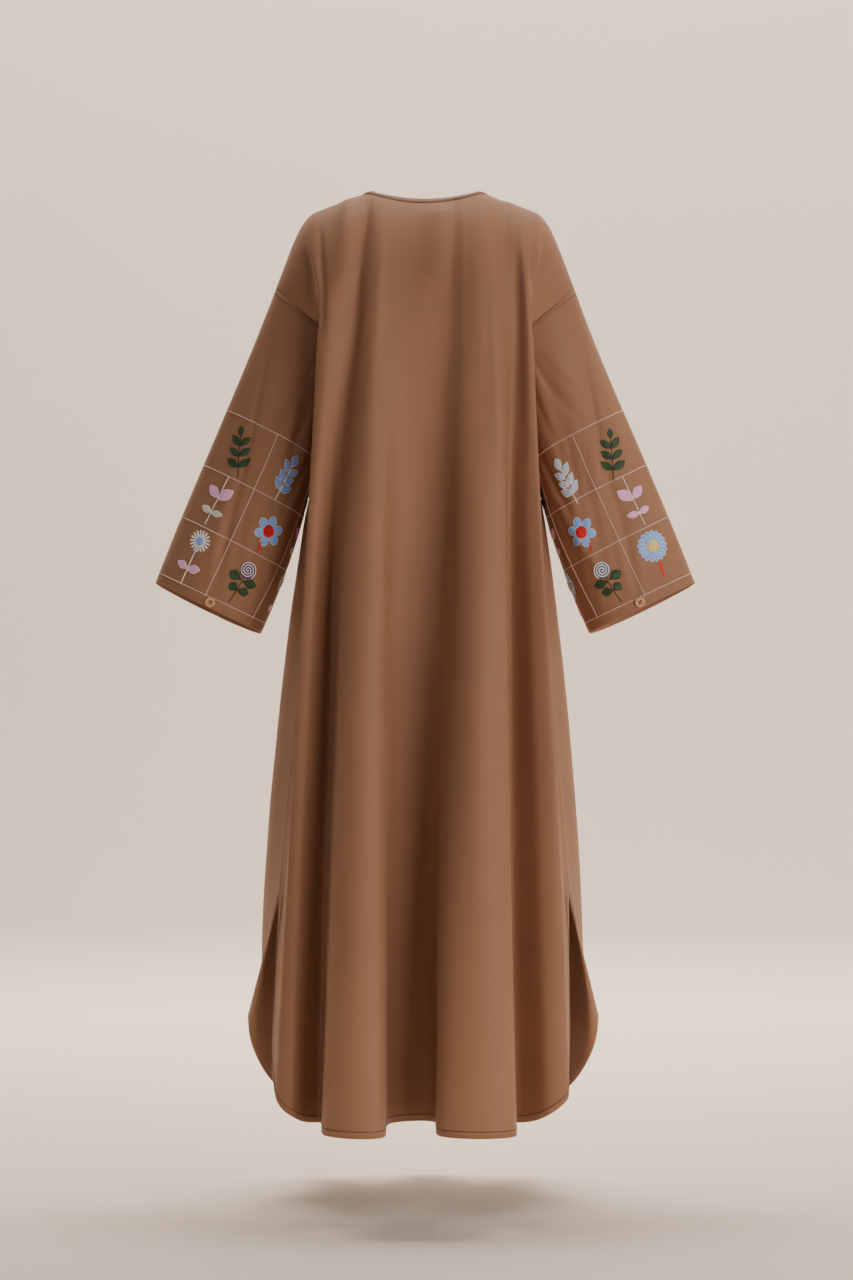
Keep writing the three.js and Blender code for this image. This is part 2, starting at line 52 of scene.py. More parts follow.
# ---- driving sizes ---------------------------------------------------------------------------
# As in the solids, but for the back's blade and arm rows, which are drawn fuller here.
SHOULDER_Z = 20.0
NECK_HALF = 80.0
BINDING_WIDTH = 10.0
BAND_EDGE = NECK_HALF + BINDING_WIDTH + 0.3
SCOOP = {"back": (21.0, 0.42, -1), "front": (74.0, 0.293, 1)}   # degrees, degrees per mm, side
HEM_Z = -1364.0
CORNER = {"back": 132.0, "front": 137.0}
LEVELS = {"blade": -200.0, "arm": -300.0, "chest": -500.0, "waist": -700.0, "slit": -1031.0}
SHOULDER_LINE = [
    (80, 0), (109, -12), (149, -26), (172, -38), (185, -56), (195, -78), (206, -106), (221, -145),
]
FOLD_COLUMNS = ("name", "top", "blade", "arm", "chest", "waist", "slit", "hem")
BACK_FOLDS = [
    ("edge_l", -221, (-152, -56), (-145, 0), (-159, -36), (-181, -72), (-213, -105), (-225, -105)),
    ("valley_l", -190, (-147, -80), (-144, -58), (-157, -80), (-171, -98), (-206, -118), (-222, -122)),
    ("ridge_l", -150, (-155, -104), (-160, -110), (-171, -120), (-183, -127), (-200, -138), (-214, -146)),
    ("crest_l", -122, (-140, -111), (-147, -117), (-160, -123), (-170, -130), (-186, -143), (-196, -156)),
    ("neck_l", -90.3, (-112, -106), (-126, -106), (-143, -108), (-150, -110), (-164, -118), (-172, -124)),
    ("trough_1", -80, (-100, -103), (-115, -101), (-131, -99), (-136, -98), (-147, -104), (-155, -110)),
    ("crest_1_left", -71, (-87, -117), (-97, -121), (-112, -143), (-117, -168), (-129, -192), (-144, -214)),
    ("crest_1", -60, (-72, -123), (-79, -132), (-84, -157), (-90, -181), (-97, -213), (-103, -241)),
    ("crest_1_right", -49, (-54, -119), (-57, -127), (-60, -149), (-62, -170), (-64, -201), (-63, -233)),
    ("trough_2_left", -6, (-8, -113), (-28, -115), (-40, -118), (-42, -116), (-48, -119), (-48, -114)),
    ("trough_2_right", 42, (34, -111), (24, -111), (22, -107), (18, -103), (10, -100), (9, -101)),
    ("crest_2_left", 53, (59, -121), (57, -131), (52, -149), (44, -166), (30, -195), (22, -220)),
    ("crest_2", 74, (82, -124), (82, -134), (80, -160), (77, -185), (75, -218), (77, -241)),
    ("crest_2_right", 90.3, (106, -116), (109, -127), (113, -147), (115, -166), (120, -194), (127, -224)),
    ("trough_3", 124, (132, -98), (127, -99), (123, -98), (124, -98), (126, -105), (131, -112)),
    ("crest_r", 138, (150, -106), (152, -111), (153, -116), (160, -123), (171, -136), (179, -146)),
    ("ridge_r", 150, (156, -102), (160, -108), (169, -119), (181, -126), (197, -137), (207, -142)),
    ("valley_r", 190, (147, -80), (144, -58), (157, -80), (170, -98), (203, -118), (210, -122)),
    ("edge_r", 221, (152, -56), (145, 0), (158, -36), (180, -72), (210, -105), (212, -105)),
]
FRONT_FOLDS = [
    ("edge_l", -221, (-152, 56), (-145, 0), (-159, -36), (-181, -72), (-213, -105), (-265, 20)),
    ("side_l", -190, (-147, 80), (-146, 34), (-181, 4), (-209, 2), (-239, 4), (-242, 40)),
    ("hollow_l", -150, (-130, 98), (-134, 90), (-149, 86), (-166, 90), (-186, 98), (-196, 104)),
    ("fold_a_left", -122, (-110, 109), (-114, 113), (-126, 126), (-140, 141), (-158, 163), (-170, 182)),
    ("fold_a_right", -104, (-94, 113), (-96, 119), (-102, 134), (-110, 151), (-122, 178), (-132, 203)),
    ("hollow_a", -90.3, (-66, 118), (-67, 120), (-70, 124), (-74, 128), (-80, 132), (-86, 136)),
    ("fold_b_left", -26, (-24, 125), (-25, 130), (-27, 142), (-29, 158), (-28, 184), (-28, 212)),
    ("fold_b_right", 22, (20, 125), (21, 130), (24, 143), (29, 160), (34, 187), (38, 216)),
    ("hollow_b", 90.3, (62, 118), (64, 120), (70, 124), (76, 128), (84, 132), (90, 137)),
    ("fold_c_left", 104, (92, 113), (95, 119), (101, 135), (110, 153), (122, 181), (134, 207)),
    ("fold_c_right", 122, (110, 109), (114, 113), (126, 126), (138, 142), (156, 165), (168, 186)),
    ("hollow_r", 150, (130, 98), (134, 90), (149, 86), (164, 90), (182, 98), (192, 104)),
    ("side_r", 190, (147, 80), (146, 34), (180, 4), (205, 2), (231, 4), (236, 40)),
    ("edge_r", 221, (152, 56), (145, 0), (158, -36), (180, -72), (210, -105), (259, 20)),
]
FOLDS = {"back": BACK_FOLDS, "front": FRONT_FOLDS}
CUFF = {"outer_x": -400.0, "outer_z": -578.0, "inner_x": -243.0, "inner_z": -652.0,
        "half_depth": 54.0, "drop": 4.0, "front_drop": 10.0}
SLEEVE_BOW = {"outer_upper": -7.0, "outer_lower": 4.0, "inner": 15.0}
BUTTON_ALONG = 0.245
BUTTON_UP = 9.0
BUTTON_HOLES = ((1.7, 1.7), (-1.7, -1.7), (-1.7, 1.7), (1.7, -1.7))

# Embroidered grid on each sleeve: heights above the cuff edge, and places round the sleeve as
# (share at the cuff, share at the top line), counted from the outer crease over the back.
GRID_HEIGHTS = ((16.0, 16.0), (101.0, 106.0), (184.0, 189.0), (271.0, 277.0))
GRID_LINES = ((-0.012, -0.012), (0.221, 0.226), (0.399, 0.462), (0.600, 0.562), (0.780, 0.772))


# Studio, in metres.
FLOOR_Z = -1.485
WALL_Y = 1.95
BEND = 0.16
CAMERA_PLACE = (0.002, -5.5, -0.349)
CAMERA_DIP = 3.053
CAMERA_LENS = 104.4
AIR_STRENGTH = 0.028    # the air's light on the cloth
SEEN_AIR = 0.62         # the air as the camera sees it past the wall's edges
LIGHT_COLUMNS = ("name", "place", "aim", "wide", "tall", "power", "spread", "colour")
LIGHTS = [
    ("key", (3.8, -4.0, 0.3), (0, 0, -0.7), 4.2, 2.8, 216, 180, "#FFF7F0"),
    ("fill", (-4.2, -4.6, 0.4), (0, 0, -0.7), 2.4, 3.0, 44, 180, "#F6F3F2"),
    ("wall", (0.0, 0.7, 3.8), (0, 1.9, 0.2), 5.0, 0.8, 168, 80, "#FFF2E4"),
    ("front", (0.3, -2.2, 0.7), (0.3, -1.1, -1.485), 3.0, 0.5, 5, 50, "#FFF2E6"),
]


# ---- curves and surfaces -----------------------------------------------------------------------
def smooth(knots, values, at):
    """Smooth curve through values at uneven knots, with end slopes taken from the end chords."""
    knots = np.asarray(knots, float)
    values = np.asarray(values, float)
    at = np.asarray(at, float)
    chord = np.diff(values) / np.diff(knots)
    gap = np.diff(knots)
    slopes = np.empty_like(values)
    slopes[0], slopes[-1] = chord[0], chord[-1]
    if len(values) > 2:
        slopes[1:-1] = (chord[:-1] * gap[1:] + chord[1:] * gap[:-1]) / (gap[:-1] + gap[1:])
    i = np.clip(np.searchsorted(knots, at, side="left") - 1, 0, len(knots) - 2)
    width = gap[i]
    f = (at - knots[i]) / width
    f2, f3 = f * f, f * f * f
    return (values[i] * (2 * f3 - 3 * f2 + 1) + slopes[i] * width * (f3 - 2 * f2 + f)
            + values[i + 1] * (3 * f2 - 2 * f3) + slopes[i + 1] * width * (f3 - f2))


def shoulder_height(x):
    reach = np.abs(x)
    line = smooth([p[0] for p in SHOULDER_LINE], [p[1] for p in SHOULDER_LINE], np.maximum(reach, 80.0))
    return np.where(reach <= 80.0, 0.0, line)


def fold_pairs(folds, level):
    column = FOLD_COLUMNS.index(level)
    return np.array([fold[column] for fold in folds], float)


def level_curve(folds, level, us):
    """x and y at fold positions us, on one level."""
    pairs = fold_pairs(folds, level)
    steps = np.sqrt(np.hypot(*np.diff(pairs, axis=0).T)) * 5
    knots = np.concatenate([[0], np.cumsum(steps)])
    i = np.minimum(us.astype(int), len(folds) - 2)
    at = knots[i] + (knots[i + 1] - knots[i]) * (us - i)
    return np.stack([smooth(knots, pairs[:, 0], at), smooth(knots, pairs[:, 1], at)], 1)


def top_start(folds, us):
    """Where each fold position starts: x on the shoulder line, and the turn round the neck or nan."""
    tops = np.array([fold[1] for fold in folds], float)
    xs, turns = np.empty(len(us)), np.full(len(us), np.nan)
    for k, u in enumerate(us):
        i = min(int(u), len(folds) - 2)
        a, b = tops[i], tops[i + 1]
        if abs(a) <= BAND_EDGE + 1e-6 and (abs(b) <= BAND_EDGE + 1e-6 or abs(u - i) < 1e-9):
            start = math.acos(max(-1, min(1, a / BAND_EDGE)))
            end = math.acos(max(-1, min(1, b / BAND_EDGE)))
            turns[k] = start + (end - start) * (u - i)
            xs[k] = BAND_EDGE * math.cos(turns[k])
        else:
            xs[k] = a + (b - a) * (u - i)
    return xs, turns


def cap_points(x0, blade, t):
    """Points on the shoulder curves of folds that start at x0; t in radians has one row per fold."""
    z0 = shoulder_height(x0)[:, None]
    turn = 1 - np.cos(t)
    x = x0[:, None] + (blade[:, :1] - x0[:, None]) * turn
    return np.stack([x, blade[:, 1:] * np.sin(t), z0 + (LEVELS["blade"] - z0) * turn], -1)


def panel_grid(side, us, cap, arm, body, slit):
    """Points of the front or back panel: one row per fold position, one column per height."""
    folds = FOLDS[side]
    scoop, per_mm, _sign = SCOOP[side]
    corner = CORNER[side]
    curves = {name: level_curve(folds, name, us) for name in (*LEVELS, "hem")}
    x0, turns = top_start(folds, us)
    dip = (scoop + per_mm * (BAND_EDGE - NECK_HALF)) * np.sin(np.nan_to_num(turns))
    first = np.where(np.isnan(turns), 0, dip)
    share = np.linspace(0, 1, cap + 1)
    t = np.radians(first[:, None] + (90 - first[:, None]) * share)
    upper = cap_points(x0, curves["blade"], t)
    span = len(folds) - 1
    fine = np.linspace(0, span, 600)
    walk = level_curve(folds, "hem", fine)
    along = np.concatenate([[0], np.cumsum(np.hypot(*np.diff(walk, axis=0).T))])
    here = np.interp(us, fine, along)
    edge = np.minimum(here, along[-1] - here)
    rise = corner - np.sqrt(np.maximum(0, corner ** 2 - np.maximum(0, corner - edge) ** 2))
    hem_z = HEM_Z + np.where(edge < corner, rise, 0)
    rows = []
    for k, u in enumerate(us):
        z = np.concatenate([
            np.linspace(LEVELS["blade"], LEVELS["arm"], arm + 1)[1:],
            np.linspace(LEVELS["arm"], LEVELS["slit"], body + 1)[1:],
            np.linspace(LEVELS["slit"], hem_z[k], slit + 1)[1:]])
        knots = [-h for h in LEVELS.values()] + [-hem_z[k]]
        xs = [curves[name][k, 0] for name in (*LEVELS, "hem")]
        ys = [curves[name][k, 1] for name in (*LEVELS, "hem")]
        points = np.stack([smooth(knots, xs, -z), smooth(knots, ys, -z), z], 1)
        near = max(0.0, 1 - min(u, span - u))
        if near > 0:
            turn = np.linspace(0, math.pi / 2, arm + 1)[1:]
            held = points.copy()
            down = np.sin(turn)
            held[:arm, 0] = xs[0] + (xs[1] - xs[0]) * down
            held[:arm, 1] = ys[1] + (ys[0] - ys[1]) * np.cos(turn)
            held[:arm, 2] = LEVELS["blade"] + (LEVELS["arm"] - LEVELS["blade"]) * down
            for low, high, part in ((1, 5, slice(arm, arm + body)), (4, 6, slice(arm + body, None))):
                held[part, 0] = smooth(knots[low:high], xs[low:high], -z[part])
                held[part, 1] = smooth(knots[low:high], ys[low:high], -z[part])
            weight = near * near * (3 - 2 * near)
            points = points + (held - points) * weight
        rows.append(points)
    return np.concatenate([upper, np.array(rows)], 1)


def grid_normals(grid, sign, wrapped=False):
    """Unit normals of a grid; sign turns them outwards."""
    if wrapped:
        across = np.roll(grid, -1, 0) - np.roll(grid, 1, 0)
    else:
        across = np.gradient(grid, axis=0)
    down = np.gradient(grid, axis=1)
    n = np.cross(across, down)
    length = np.linalg.norm(n, axis=-1, keepdims=True)
    return sign * n / np.maximum(length, 1e-9)


def ripple(x, y, z, seed):
    """Gentle unevenness of hanging cloth, in millimetres, from a few long waves."""
    rng = np.random.default_rng(seed)
    total = np.zeros_like(x)
    for _ in range(7):
        wave = rng.uniform(60, 190)
        lean = rng.uniform(-0.5, 0.5)
        phase = rng.uniform(0, 2 * math.pi)
        stretch = rng.uniform(0.12, 0.35)
        total += np.sin(2 * math.pi * (x + lean * y) / wave + 2 * math.pi * stretch * z / wave + phase)
    return total / 7


# Soft creases: centre line from (x, z) to (x, z), half width, depth (negative is a trough).
CREASE_COLUMNS = ("x_top", "z_top", "x_low", "z_low", "half_width", "depth")
BACK_CREASES = [
    (-152, -50, -150, -225, 5, -6.0), (160, -50, 158, -225, 5, -5.5),
    (-113, 20, -117, -165, 16, 9.5), (20, 20, 22, -165, 22, 9.0), (124, 20, 126, -150, 9, 5.0),
    (-176, -86, -161, -168, 6, -5.0),
    (-166, -66, -150, -178, 5, 3.0),
    (176, -78, 158, -150, 6, -5.0),
    (168, -62, 154, -172, 5, 3.0),
    (98, -60, 106, -420, 8, 2.5),
    (134, -70, 139, -420, 7, -3.0),
]
FRONT_CREASES = [
    (-176, -86, -161, -168, 6, -5.0),
    (176, -80, 160, -158, 6, -5.0),
    (-118, -150, -142, -420, 9, -3.5),
    (120, -160, 144, -430, 9, -3.5),
    (-46, -190, -52, -520, 10, -2.5),
    (44, -200, 50, -560, 10, -2.5),
]


def crease_lift(grid, creases):
    lift = np.zeros(grid.shape[:2])
    x, z = grid[..., 0], grid[..., 2]
    for row in creases:
        c = dict(zip(CREASE_COLUMNS, row))
        f = (z - c["z_top"]) / (c["z_low"] - c["z_top"])
        line = c["x_top"] + (c["x_low"] - c["x_top"]) * np.clip(f, 0, 1)
        line = line + 2.0 * np.sin(f * 5.1 + c["x_top"])
        reach = np.clip(f * (1 - f) * 4, 0, 1)
        wide = c["half_width"] * (0.8 + 0.5 * np.clip(f, 0, 1))
        lift += c["depth"] * reach * np.exp(-((x - line) / wide) ** 2)
    return lift


# ---- sleeves -----------------------------------------------------------------------------------
class Sleeve:
    """The tube from the armhole to the cuff. share runs round it from the outer crease over the
    back; w runs from the armhole, 0, to the cuff edge, 1."""

    def __init__(self, hand):
        self.hand = hand
        last = {side: len(FOLDS[side]) - 1 for side in FOLDS}
        edges = []
        for side in ("back", "front"):
            u = np.array([0.0 if hand < 0 else float(last[side])])
            edges.append(panel_grid(side, u, 40, 30, 2, 2)[0, :71])
        loop = np.concatenate([edges[0], edges[1][::-1][1:]])
        step = np.linalg.norm(np.diff(loop, axis=0), axis=1)
        self.loop = loop
        self.loop_at = np.concatenate([[0], np.cumsum(step)])
        turn = np.linspace(0, 2 * math.pi, 481)
        depth = -CUFF["half_depth"] * np.sin(turn) * (1 - 0.18 * np.cos(turn))
        mid_x = (CUFF["outer_x"] + CUFF["inner_x"]) / 2
        mid_z = (CUFF["outer_z"] + CUFF["inner_z"]) / 2
        x = mid_x + (CUFF["outer_x"] - CUFF["inner_x"]) / 2 * np.cos(turn)
        z = mid_z + (CUFF["outer_z"] - CUFF["inner_z"]) / 2 * np.cos(turn)
        z = z - np.where(depth > 0, CUFF["front_drop"], CUFF["drop"]) * depth / CUFF["half_depth"]
        self.cuff = np.stack([x if hand < 0 else -x, depth, z], 1)
        step = np.linalg.norm(np.diff(self.cuff, axis=0), axis=1)
        self.cuff_at = np.concatenate([[0], np.cumsum(step)])

    def ring(self, line, at, share):
        want = (share % 1.0) * at[-1]
        return np.stack([np.interp(want, at, line[:, k]) for k in range(3)], -1)

    def length(self, share):
        low = self.ring(self.cuff, self.cuff_at, share)
        return np.linalg.norm(low - self.ring(self.loop, self.loop_at, share), axis=-1)

    def point(self, share, w):
        share, w = np.broadcast_arrays(np.asarray(share, float), np.asarray(w, float))
        a = self.ring(self.loop, self.loop_at, share)
        b = self.ring(self.cuff, self.cuff_at, share)
        p = a + (b - a) * w[..., None]
        outer = (1 + np.cos(2 * math.pi * share)) / 2
        lift = SLEEVE_BOW["outer_upper"] * (1 - w) + SLEEVE_BOW["outer_lower"] * w
        bow = np.sin(math.pi * w) * (outer * lift - (1 - outer) * SLEEVE_BOW["inner"])
        out = np.array([self.hand * 0.92, 0, 0.39])
        p = p + bow[..., None] * out
        return p + self.drape(share, w)[..., None] * self.flat_normal(share, a, b)

    def girth(self, height):
        """Length round the sleeve at a height above the cuff edge."""
        w = 1 - height / 360.0
        return self.cuff_at[-1] * w + self.loop_at[-1] * (1 - w)

    def flat_normal(self, share, a, b):
        side = self.ring(self.cuff, self.cuff_at, share + 0.01)
        side = side - self.ring(self.cuff, self.cuff_at, share - 0.01)
        n = np.cross(side, b - a) * self.hand
        return n / np.maximum(np.linalg.norm(n, axis=-1, keepdims=True), 1e-9)

    def drape(self, share, w):
        """Long soft waves down the sleeve and slack below the armhole, in millimetres."""
        fade = np.sin(math.pi * np.clip(w, 0, 1)) ** 0.8
        phase = 0.6 if self.hand < 0 else 2.1
        waves = 1.5 * np.sin(2 * math.pi * (5 * share + 0.35 * w) + phase)
        waves = waves + 0.9 * np.sin(2 * math.pi * (9 * share - 0.6 * w) + 2 * phase)
        pucker = np.sin(2 * math.pi * (13 * share + 3.1 * w) + phase)
        pucker = pucker * np.sin(2 * math.pi * (6 * share - 8.3 * w))
        below = np.clip((w - 0.3) * 6, 0, 1)
        above = np.clip((0.97 - w) * 20, 0, 1)
        total = fade * waves + 0.8 * pucker * below * above * np.sin(2 * math.pi * share) ** 2
        for row in SLEEVE_CREASES:
            c = dict(zip(SLEEVE_CREASE_COLUMNS, row))
            f = (w - c["w_top"]) / (c["w_low"] - c["w_top"])
            line = c["share_top"] + (c["share_low"] - c["share_top"]) * np.clip(f, 0, 1)
            off = (share % 1.0) - line
            reach = np.clip(f * (1 - f) * 4, 0, 1)
            total = total + c["depth"] * reach * np.exp(-(off / c["half_width"]) ** 2)
        return total

    def at_height(self, share, height, lift=0.0):
        """Point a height above the cuff edge, moved out from the cloth by lift."""
        share = np.asarray(share, float)
        w = 1 - np.asarray(height, float) / self.length(share)
        p = self.point(share, w)
        side = self.point(share + 0.004, w) - self.point(share - 0.004, w)
        down = self.point(share, w + 0.004) - self.point(share, w - 0.004)
        n = np.cross(side, down) * self.hand
        n = n / np.linalg.norm(n, axis=-1, keepdims=True)
        return p + np.asarray(lift)[..., None] * n if np.ndim(lift) else p + lift * n


SLEEVE_CREASE_COLUMNS = ("share_top", "w_top", "share_low", "w_low", "half_width", "depth")
SLEEVE_CREASES = [
    (0.30, 0.02, 0.17, 0.42, 0.018, -2.6),
    (0.36, 0.02, 0.27, 0.55, 0.022, -2.2),
    (0.24, 0.05, 0.12, 0.34, 0.014, 1.8),
    (0.70, 0.02, 0.83, 0.42, 0.018, -2.6),
    (0.64, 0.02, 0.73, 0.55, 0.022, -2.2),
    (0.45, 0.10, 0.33, 0.62, 0.016, -4.0), (0.08, 0.12, 0.20, 0.66, 0.014, -3.6),
    (0.40, 0.40, 0.30, 0.95, 0.018, 2.6), (0.15, 0.45, 0.24, 0.97, 0.016, -3.2),
    (0.57, 0.12, 0.68, 0.66, 0.016, -3.6), (0.92, 0.14, 0.80, 0.70, 0.014, -3.6),
]


# ---- meshes ------------------------------------------------------------------------------------
def to_metres(points):
    points = np.asarray(points, float).reshape(-1, 3).copy()
    points[:, 2] += SHOULDER_Z
    return points * MM


def new_object(name, vertices, faces, materials, uvs=None, smooth_faces=True, slots=None):
    """A plain mesh object at the origin. uvs has one pair per vertex."""
    mesh = bpy.data.meshes.new(name)
    mesh.from_pydata([tuple(v) for v in vertices], [], faces)
    mesh.validate()
    if uvs is not None:
        layer = mesh.uv_layers.new(name="Cloth")
        loops = np.empty(len(mesh.loops), dtype=np.int32)
        mesh.loops.foreach_get("vertex_index", loops)
        layer.data.foreach_set("uv", np.asarray(uvs, float)[loops].ravel())
    for material in materials:
        mesh.materials.append(material)
    if slots is not None:
        mesh.polygons.foreach_set("material_index", np.asarray(slots, dtype=np.int32))
    mesh.polygons.foreach_set("use_smooth", np.full(len(mesh.polygons), smooth_faces))
    obj = bpy.data.objects.new(name, mesh)
    bpy.context.scene.collection.objects.link(obj)
    return obj


def grid_faces(columns, rows, wrapped, flip):
    faces = []
    spans = columns if wrapped else columns - 1
    for i in range(spans):
        a = i * rows
        b = ((i + 1) % columns) * rows
        for j in range(rows - 1):
            quad = (a + j, a + j + 1, b + j + 1, b + j)
            faces.append(quad[::-1] if flip else quad)
    return faces


def cloth_object(name, grid, wrapped, flip, material, thick):
    """A cloth wall from its outer points, with a UV map in metres along and across the cloth."""
    columns, rows = grid.shape[:2]
    across = np.linalg.norm(np.diff(grid, axis=0), axis=-1).mean(1)
    down = np.linalg.norm(np.diff(grid, axis=1), axis=-1).mean(0)
    u = np.concatenate([[0], np.cumsum(across)])[:columns]
    v = np.concatenate([[0], np.cumsum(down)])
    uvs = np.stack(np.broadcast_arrays(u[:, None], -v[None, :]), -1).reshape(-1, 2) * MM
    obj = new_object(name, to_metres(grid), grid_faces(columns, rows, wrapped, flip), [material], uvs)
    wall = obj.modifiers.new("Wall", "SOLIDIFY")
    wall.thickness = thick * MM
    wall.offset = -1
    wall.use_even_offset = False
    return obj


def finish_piece(obj, slot, *nodes):
    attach(obj, "root")
    if nodes:
        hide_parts(*nodes)
    return obj


# ---- materials ---------------------------------------------------------------------------------
def linear(hex_colour):
    """sRGB hex to linear RGBA."""
    text = hex_colour.lstrip("#")
    parts = [int(text[k:k + 2], 16) / 255 for k in (0, 2, 4)]
    return tuple(c / 12.92 if c <= 0.04045 else ((c + 0.055) / 1.055) ** 2.4 for c in parts) + (1.0,)


def node(tree, kind, settings=None, inputs=None, links=None):
    """Adds one node with its settings, socket values and incoming links."""
    made = tree.nodes.new(kind)
    for key, value in (settings or {}).items():
        setattr(made, key, value)
    for key, value in (inputs or {}).items():
        made.inputs[key].default_value = value
    for key, source in (links or {}).items():
        tree.links.new(source, made.inputs[key])
    return made


def new_material(name):
    material = bpy.data.materials.new(name)
    material.use_nodes = True
    tree = material.node_tree
    tree.nodes.clear()
    output = tree.nodes.new("ShaderNodeOutputMaterial")
    return material, tree, output


def brushed_twill(name, colour, deep):
    """Piece-dyed cotton-blend twill: matt, with a soft bloom at grazing angles, a fine diagonal
    rib and faint cloudy dye. The rib's grooves are mixed towards the deep colour as painted
    shade between the threads. The 0.5 mm rib is drawn 1.1 mm wide so that it can be seen."""
    material, tree, output = new_material(name)
    place = node(tree, "ShaderNodeTexCoord")
    cloth = node(tree, "ShaderNodeMapping", inputs={"Rotation": (0, 0, math.radians(27))},
                 links={"Vector": place.outputs["UV"]})
    rib = node(tree, "ShaderNodeTexWave", {"wave_type": "BANDS", "bands_direction": "X"},
               {"Scale": 285.0, "Distortion": 0.6, "Detail": 1.0, "Detail Scale": 2.0},
               {"Vector": cloth.outputs["Vector"]})
    slub = node(tree, "ShaderNodeTexNoise", inputs={"Scale": 420.0, "Detail": 3.0, "Roughness": 0.6},
                links={"Vector": place.outputs["UV"]})
    cloud = node(tree, "ShaderNodeTexNoise", inputs={"Scale": 7.0, "Detail": 3.0, "Roughness": 0.5},
                 links={"Vector": place.outputs["Object"]})
    tint = node(tree, "ShaderNodeValToRGB", links={"Fac": cloud.outputs["Fac"]})
    tint.color_ramp.elements[0].position = 0.32
    tint.color_ramp.elements[1].position = 0.68
    tint.color_ramp.elements[0].color = tuple(c * 0.955 for c in linear(colour)[:3]) + (1,)
    tint.color_ramp.elements[1].color = tuple(c * 1.03 for c in linear(colour)[:3]) + (1,)
    grain = node(tree, "ShaderNodeMath", {"operation": "MULTIPLY"}, {1: 0.5}, {0: slub.outputs["Fac"]})
    threads = node(tree, "ShaderNodeMath", {"operation": "MULTIPLY_ADD"}, {1: 0.35},
                   {0: rib.outputs["Fac"], 2: grain.outputs["Value"]})
    # Painted shade: where the rib's threads are low, the base is mixed up to 0.22 of the way to the deep
    # colour.
    dark = node(tree, "ShaderNodeMix", {"data_type": "RGBA"}, {"B": linear(deep)},
                {"A": tint.outputs["Color"]})
    depth = node(tree, "ShaderNodeMapRange",
                 inputs={"From Min": 0.15, "From Max": 0.7, "To Min": 0.22, "To Max": 0.0},
                 links={"Value": threads.outputs["Value"]})
    tree.links.new(depth.outputs["Result"], dark.inputs["Factor"])
    bump = node(tree, "ShaderNodeBump", inputs={"Strength": 0.35, "Distance": 0.00035},
                links={"Height": threads.outputs["Value"]})
    shader = node(tree, "ShaderNodeBsdfPrincipled",
                  inputs={"Roughness": 0.62, "IOR": 1.45, "Specular IOR Level": 0.4, "Sheen Weight": 0.2,
                          "Sheen Roughness": 0.5, "Sheen Tint": linear("#E9CDB9")},
                  links={"Base Color": dark.outputs["Result"], "Normal": bump.outputs["Normal"]})
    tree.links.new(shader.outputs["BSDF"], output.inputs["Surface"])
    return material


def rayon_thread(name, colour):
    """Machine embroidery rayon: rows of shiny filament laid side by side, each row painted darker
    in its grooves and lighter on its crown, as painted shade and painted highlight. The 0.4 mm
    thread is drawn 0.9 mm wide so that the rows can be seen; the map's first axis runs across the rows."""
    material, tree, output = new_material(name)
    place = node(tree, "ShaderNodeTexCoord")
    rows = node(tree, "ShaderNodeTexWave", {"wave_type": "BANDS", "bands_direction": "X"},
                {"Scale": 349.0, "Distortion": 0.4, "Detail": 1.0}, {"Vector": place.outputs["UV"]})
    fleck = node(tree, "ShaderNodeTexNoise", inputs={"Scale": 900.0, "Detail": 2.0},
                 links={"Vector": place.outputs["UV"]})
    # Painted shade and painted highlight: 0.76 of the thread's colour between the rows, up to 1.2 of it on
    # their crowns.
    tone = node(tree, "ShaderNodeValToRGB", links={"Fac": rows.outputs["Fac"]})
    base = linear(colour)[:3]
    tone.color_ramp.elements[0].color = tuple(c * 0.76 for c in base) + (1,)
    tone.color_ramp.elements[1].color = tuple(min(1, c * 1.2) for c in base) + (1,)
    tone.color_ramp.elements[1].position = 0.6
    height = node(tree, "ShaderNodeMath", {"operation": "MULTIPLY_ADD"}, {1: 0.2},
                  {0: fleck.outputs["Fac"], 2: rows.outputs["Fac"]})
    bump = node(tree, "ShaderNodeBump", inputs={"Strength": 0.4, "Distance": 0.0003},
                links={"Height": height.outputs["Value"]})
    shader = node(tree, "ShaderNodeBsdfPrincipled",
                  inputs={"Roughness": 0.4, "IOR": 1.5, "Specular IOR Level": 0.4, "Sheen Weight": 0.12,
                          "Sheen Roughness": 0.4},
                  links={"Base Color": tone.outputs["Color"], "Normal": bump.outputs["Normal"]})
    tree.links.new(shader.outputs["BSDF"], output.inputs["Surface"])
    return material


def turned_wood(name, colour, dark):
    """Turned and lacquered fruitwood: fine rings of grain under a thin satin lacquer."""
    material, tree, output = new_material(name)
    place = node(tree, "ShaderNodeTexCoord")
    grain = node(tree, "ShaderNodeTexWave", {"wave_type": "BANDS", "bands_direction": "X"},
                 {"Scale": 160.0, "Distortion": 5.0, "Detail": 3.0, "Detail Scale": 1.5},
                 {"Vector": place.outputs["Object"]})
    tone = node(tree, "ShaderNodeMix", {"data_type": "RGBA"}, {"A": linear(colour), "B": linear(dark)})
    fade = node(tree, "ShaderNodeMath", {"operation": "MULTIPLY"}, {1: 0.45}, {0: grain.outputs["Fac"]})
    tree.links.new(fade.outputs["Value"], tone.inputs["Factor"])
    bump = node(tree, "ShaderNodeBump", inputs={"Strength": 0.15, "Distance": 0.0002},
                links={"Height": grain.outputs["Fac"]})
    shader = node(tree, "ShaderNodeBsdfPrincipled",
                  inputs={"Roughness": 0.38, "IOR": 1.5, "Coat Weight": 0.25, "Coat Roughness": 0.2},
                  links={"Base Color": tone.outputs["Result"], "Normal": bump.outputs["Normal"]})
    tree.links.new(shader.outputs["BSDF"], output.inputs["Surface"])
    return material


